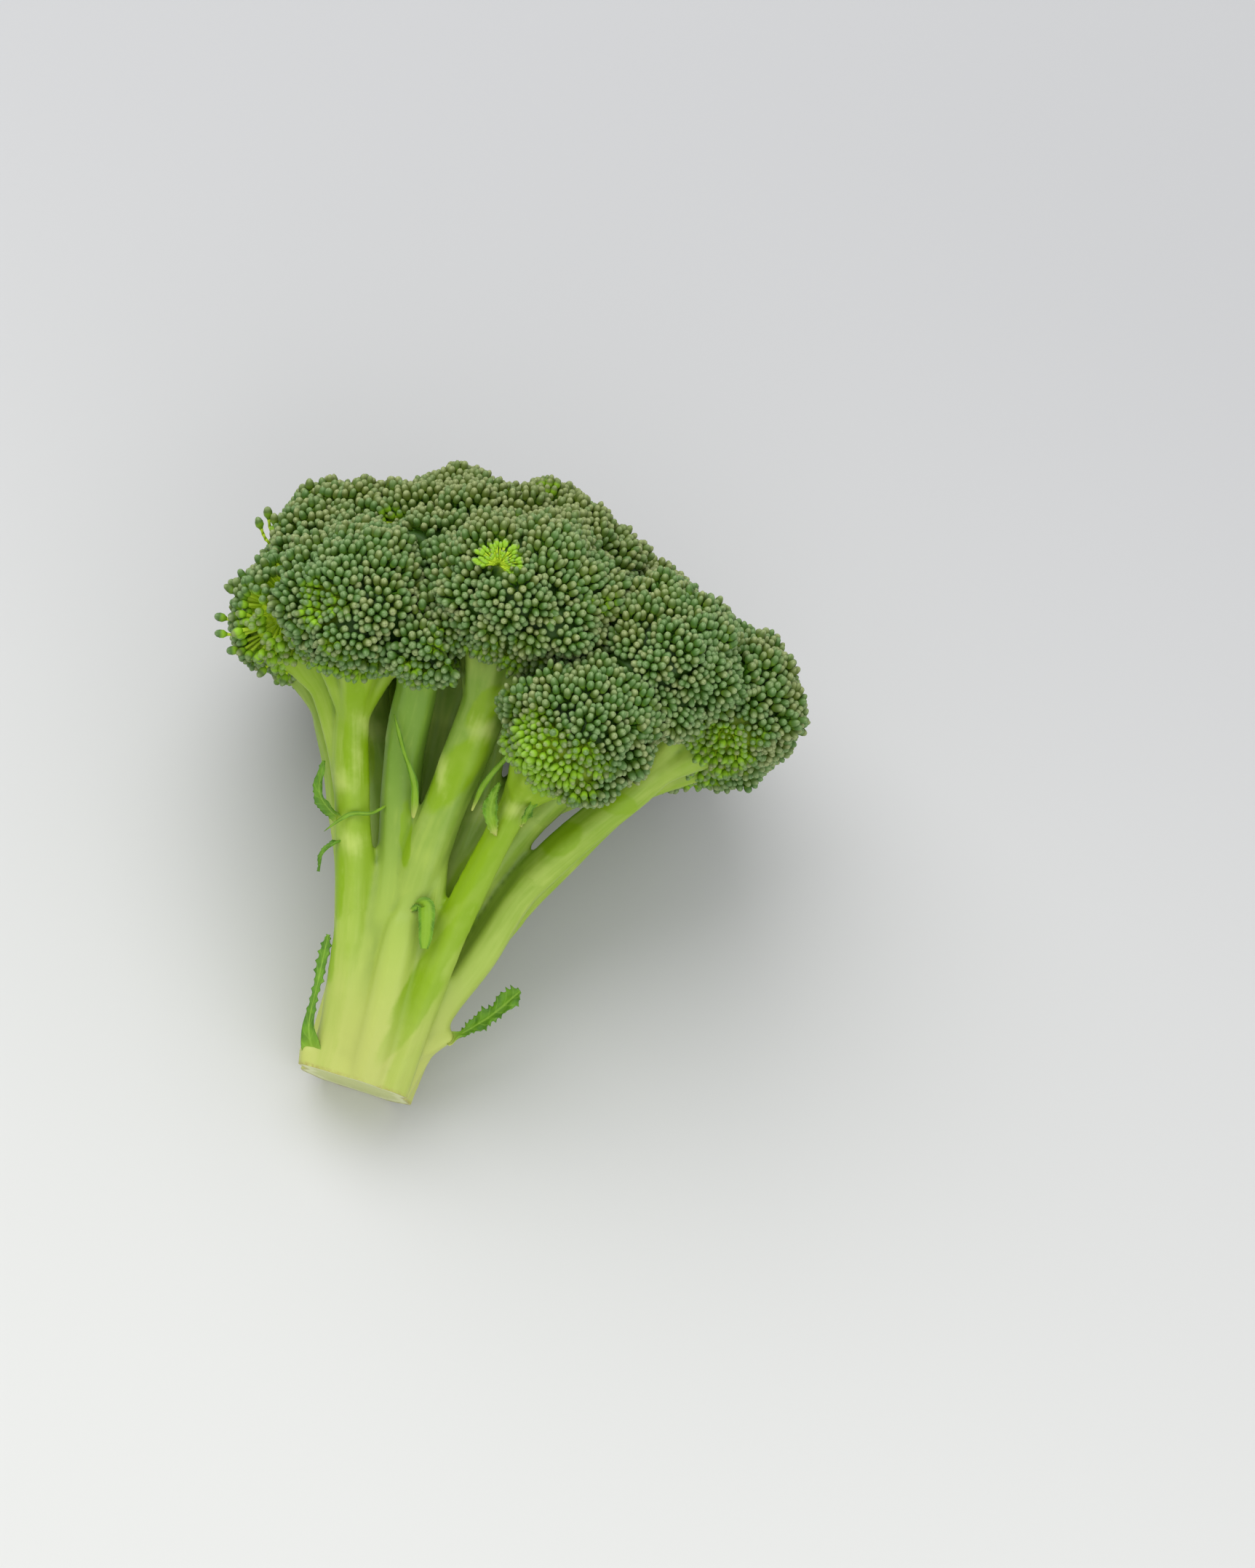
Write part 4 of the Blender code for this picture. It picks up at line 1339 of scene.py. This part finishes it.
def stalk_finish():
    """The material of the stalk's skin and of its cut face."""
    finish = Finish("stalk_skin", 0.38)
    height, fresh, hollow, scar, patch, cut = (
        finish.attribute(label) for label in ("height", "fresh", "hollow", "scar", "patch", "cut")
    )
    grain = finish.attribute_vector("grain")
    streaks = finish.noise(grain, 0.9, 1.0, 0.5)
    fine = finish.noise(grain, 5.0, 3.0, 0.6)
    clouds = finish.noise(finish.place(), 60.0, 3.0)
    ragged = finish.noise(finish.place(), 260.0, 3.0)
    raised = height.within(12.0, 72.0)
    skin = finish.mix(height.within(2.0, 45.0), STALK_FOOT, STALK_PALE)
    # A low fresh number turns the skin a darker muted green: partly its own duller colour, partly painted
    # shade of branches set back in recesses.
    muted_and_shaded = (streaks * 0.4 + clouds * 0.8 - fresh * 0.9 + 0.1).within(0.0, 0.6) * height.within(30.0, 90.0)
    skin = finish.mix(muted_and_shaded, skin, STALK_MUTED_AND_SHADED)
    vigour = fresh * 1.3 + streaks * 0.5 + clouds * 1.1 + height.within(0.0, 80.0) * 0.4 - 1.55
    skin = finish.mix(vigour.within(0.0, 0.8) * (0.35 + raised * 0.5), skin, STALK_FRESH)
    lime = (patch + ragged * 0.3 - 0.15).within(0.25, 0.46) * height.within(-8.0, 36.0) * 0.85
    skin = finish.mix(lime, skin, STALK_FRESH)
    # Painted shade: the grooves are painted darker, more so higher up the stalk.
    groove_shade = (hollow + fine * 0.1 - 0.05).within(0.1, 1.0) * (0.2 + raised * 0.5)
    skin = finish.mix(groove_shade, skin, STALK_GROOVE_SHADE)
    skin = finish.mix(clouds.within(0.5, 0.75) * 0.12, skin, SCAR_PALE)
    skin = finish.mix((scar + ragged * 0.9 + streaks * 0.8 - 0.9).within(0.0, 1.2) * 0.6, skin, SCAR_PALE)
    fibres = finish.noise(finish.place(), 900.0, 4.0, 0.7)
    ring = cut.within(0.7, 0.86) * (1 - cut.within(0.9, 0.97))
    # The cut face's base colour is partly its own pale and partly painted shade, toned darker.
    flesh = finish.mix(ring * 0.6 + fibres.within(0.5, 0.8) * 0.4, CUT_PALE_AND_SHADE, CUT_FIBRE)
    flesh = finish.mix(cut.within(0.9, 1.0) * fibres.within(0.3, 0.6) * 0.8, flesh, CUT_BROWN)
    dried = (1 - height.within(0.0, 1.3)) * fibres.within(0.35, 0.6) * clouds.within(0.3, 0.6)
    skin = finish.mix(dried * 0.8, skin, CUT_BROWN)
    finish.wear("Base Color", finish.mix(cut.within(-0.6, -0.4), skin, flesh))
    finish.wear("Roughness", 0.34 + fine * 0.16)
    finish.wear("Specular IOR Level", 0.28)
    finish.bump(fine, 0.05, 0.0003)
    return finish.material


stalk_skin = stalk_finish()
stalk_piece.data.materials.append(stalk_skin)
print("stalk material nodes:", len(stalk_skin.node_tree.nodes))

# %% [markdown]
# ## The skin of the leaves
#
# The blades are mid green with a paler rib down the middle and side veins that branch off it.
# The bracts in the forks and the foot of each leaf are nearly as pale as the stalk.

# %% Leaf material
LEAF_GREEN = paint(98, 146, 34)
LEAF_DARK = paint(70, 116, 28)
LEAF_RIB = paint(132, 172, 62)
BRACT_PALE = paint(132, 170, 38)


def leaf_finish():
    """The material of the leaves and bracts."""
    finish = Finish("leaf_skin", 0.45)
    across, along, pale = (finish.attribute(label) for label in ("across", "along", "pale"))
    off_rib = finish.node("Math", {"operation": "ABSOLUTE"}, across)
    clouds = finish.noise(finish.place(), 300.0, 3.0)
    skin = finish.mix(clouds.within(0.35, 0.65), LEAF_DARK, LEAF_GREEN)
    vein = finish.node("Math", {"operation": "SINE"}, along * 60.0 - off_rib * 6.0)
    rib = (1 - off_rib.within(0.04, 0.2)) * 0.8 + vein.within(0.75, 1.0) * 0.35
    skin = finish.mix(rib, skin, LEAF_RIB)
    lime = pale * (1 - off_rib.within(0.4, 0.8) * 0.8) + (1 - along.within(0.05, 0.35)) * 0.8
    skin = finish.mix(lime, skin, BRACT_PALE)
    finish.wear("Base Color", finish.mix(1 - along.within(0.0, 0.22), skin, STALK_FOOT))
    finish.wear("Roughness", 0.4 + clouds * 0.2)
    finish.wear("Specular IOR Level", 0.28)
    finish.bump(clouds + rib * 0.5, 0.4, 0.0003)
    return finish.material


leaf_skin = leaf_finish()
for piece in leaf_pieces:
    piece.data.materials.append(leaf_skin)
print("leaf material nodes:", len(leaf_skin.node_tree.nodes))

# %% [markdown]
# ## Camera, light and floor
#
# The camera looks down square at the front of the lying head, from far off with a long lens. It
# is rolled a little, so that the stalk leans in the picture. Two large soft lights and a pale
# sky keep the shadows weak. The floor is painted darker towards its far side, as painted shade.

# %% Camera
LEAN = math.radians(18.0)
MM_PER_PIXEL = 0.201
PHOTO_SIZE = (1725, 2156)
CUT_PIXEL = (482, 1499)
LENS, SENSOR = 135.0, 36.0
VIEW_DEPTH = -12.0

to_right = np.array((math.cos(LEAN), 0.0, math.sin(LEAN)))
to_top = np.array((-math.sin(LEAN), 0.0, math.cos(LEAN)))
to_lens = np.array((0.0, -1.0, 0.0))
across = (PHOTO_SIZE[0] / 2 - CUT_PIXEL[0]) * MM_PER_PIXEL
upward = (CUT_PIXEL[1] - PHOTO_SIZE[1] / 2) * MM_PER_PIXEL
distance = LENS * PHOTO_SIZE[1] * MM_PER_PIXEL / SENSOR
looked_at = to_right * across + to_top * upward + np.array((0.0, VIEW_DEPTH, 0.0))

camera = bpy.data.objects.new("camera", bpy.data.cameras.new("camera"))
camera.data.lens = LENS
camera.data.sensor_width = SENSOR
bpy.context.scene.collection.objects.link(camera)
bpy.context.scene.camera = camera
facing = Matrix(np.stack([LYING @ side for side in (to_right, to_top, to_lens)], axis=1).tolist())
camera.matrix_world = Matrix.Translation(Vector(laid(looked_at + to_lens * distance))) @ facing.to_4x4()
print("camera stands", round(distance), "mm off")

# %% Lights
def soft_light(name, place, target, size, power):
    """A square soft light at a growing place, turned to a growing target."""
    lamp = bpy.data.lights.new(name, "AREA")
    lamp.shape, lamp.size, lamp.energy = "SQUARE", size, power
    light = bpy.data.objects.new(name, lamp)
    bpy.context.scene.collection.objects.link(light)
    light.location = Vector(laid(place))
    way = Vector(laid(target)) - light.location
    light.rotation_euler = way.to_track_quat("-Z", "Y").to_euler()


HEAD_MIDDLE = np.array((5.0, -10.0, 95.0))


def from_head(right, top, front):
    """A growing place by its distances from the head's middle, as the camera sees them."""
    return HEAD_MIDDLE + to_right * right + to_top * top + to_lens * front


soft_light("key", from_head(-200, 1000, 800), HEAD_MIDDLE, size=1.4, power=14.0)
soft_light("fill", from_head(500, -700, 900), HEAD_MIDDLE, size=1.4, power=6.0)
bpy.context.scene.view_settings.view_transform = "Standard"
world = bpy.data.worlds.new("studio")
bpy.context.scene.world = world
world.use_nodes = True
world.node_tree.nodes["Background"].inputs["Color"].default_value = paint(246, 248, 250)
world.node_tree.nodes["Background"].inputs["Strength"].default_value = 0.8

# %% Floor
floor_mesh = bpy.data.meshes.new("floor")
FLOOR_HALF = 3.0
corners = [(side * FLOOR_HALF, end * FLOOR_HALF, 0) for side, end in ((-1, -1), (1, -1), (1, 1), (-1, 1))]
floor_mesh.from_pydata(corners, [], [(0, 1, 2, 3)])
floor = bpy.data.objects.new("floor", floor_mesh)
bpy.context.scene.collection.objects.link(floor)
floor_finish = Finish("floor_paper", 0.7)
# Painted shade: the floor paper is painted darker towards its far side, not one even colour.
far_side_shade = floor_finish.along_y().within(-0.3, 0.3)
floor_finish.wear("Base Color", floor_finish.mix(far_side_shade, paint(210, 210, 207), paint(180, 180, 181)))
floor_mesh.materials.append(floor_finish.material)
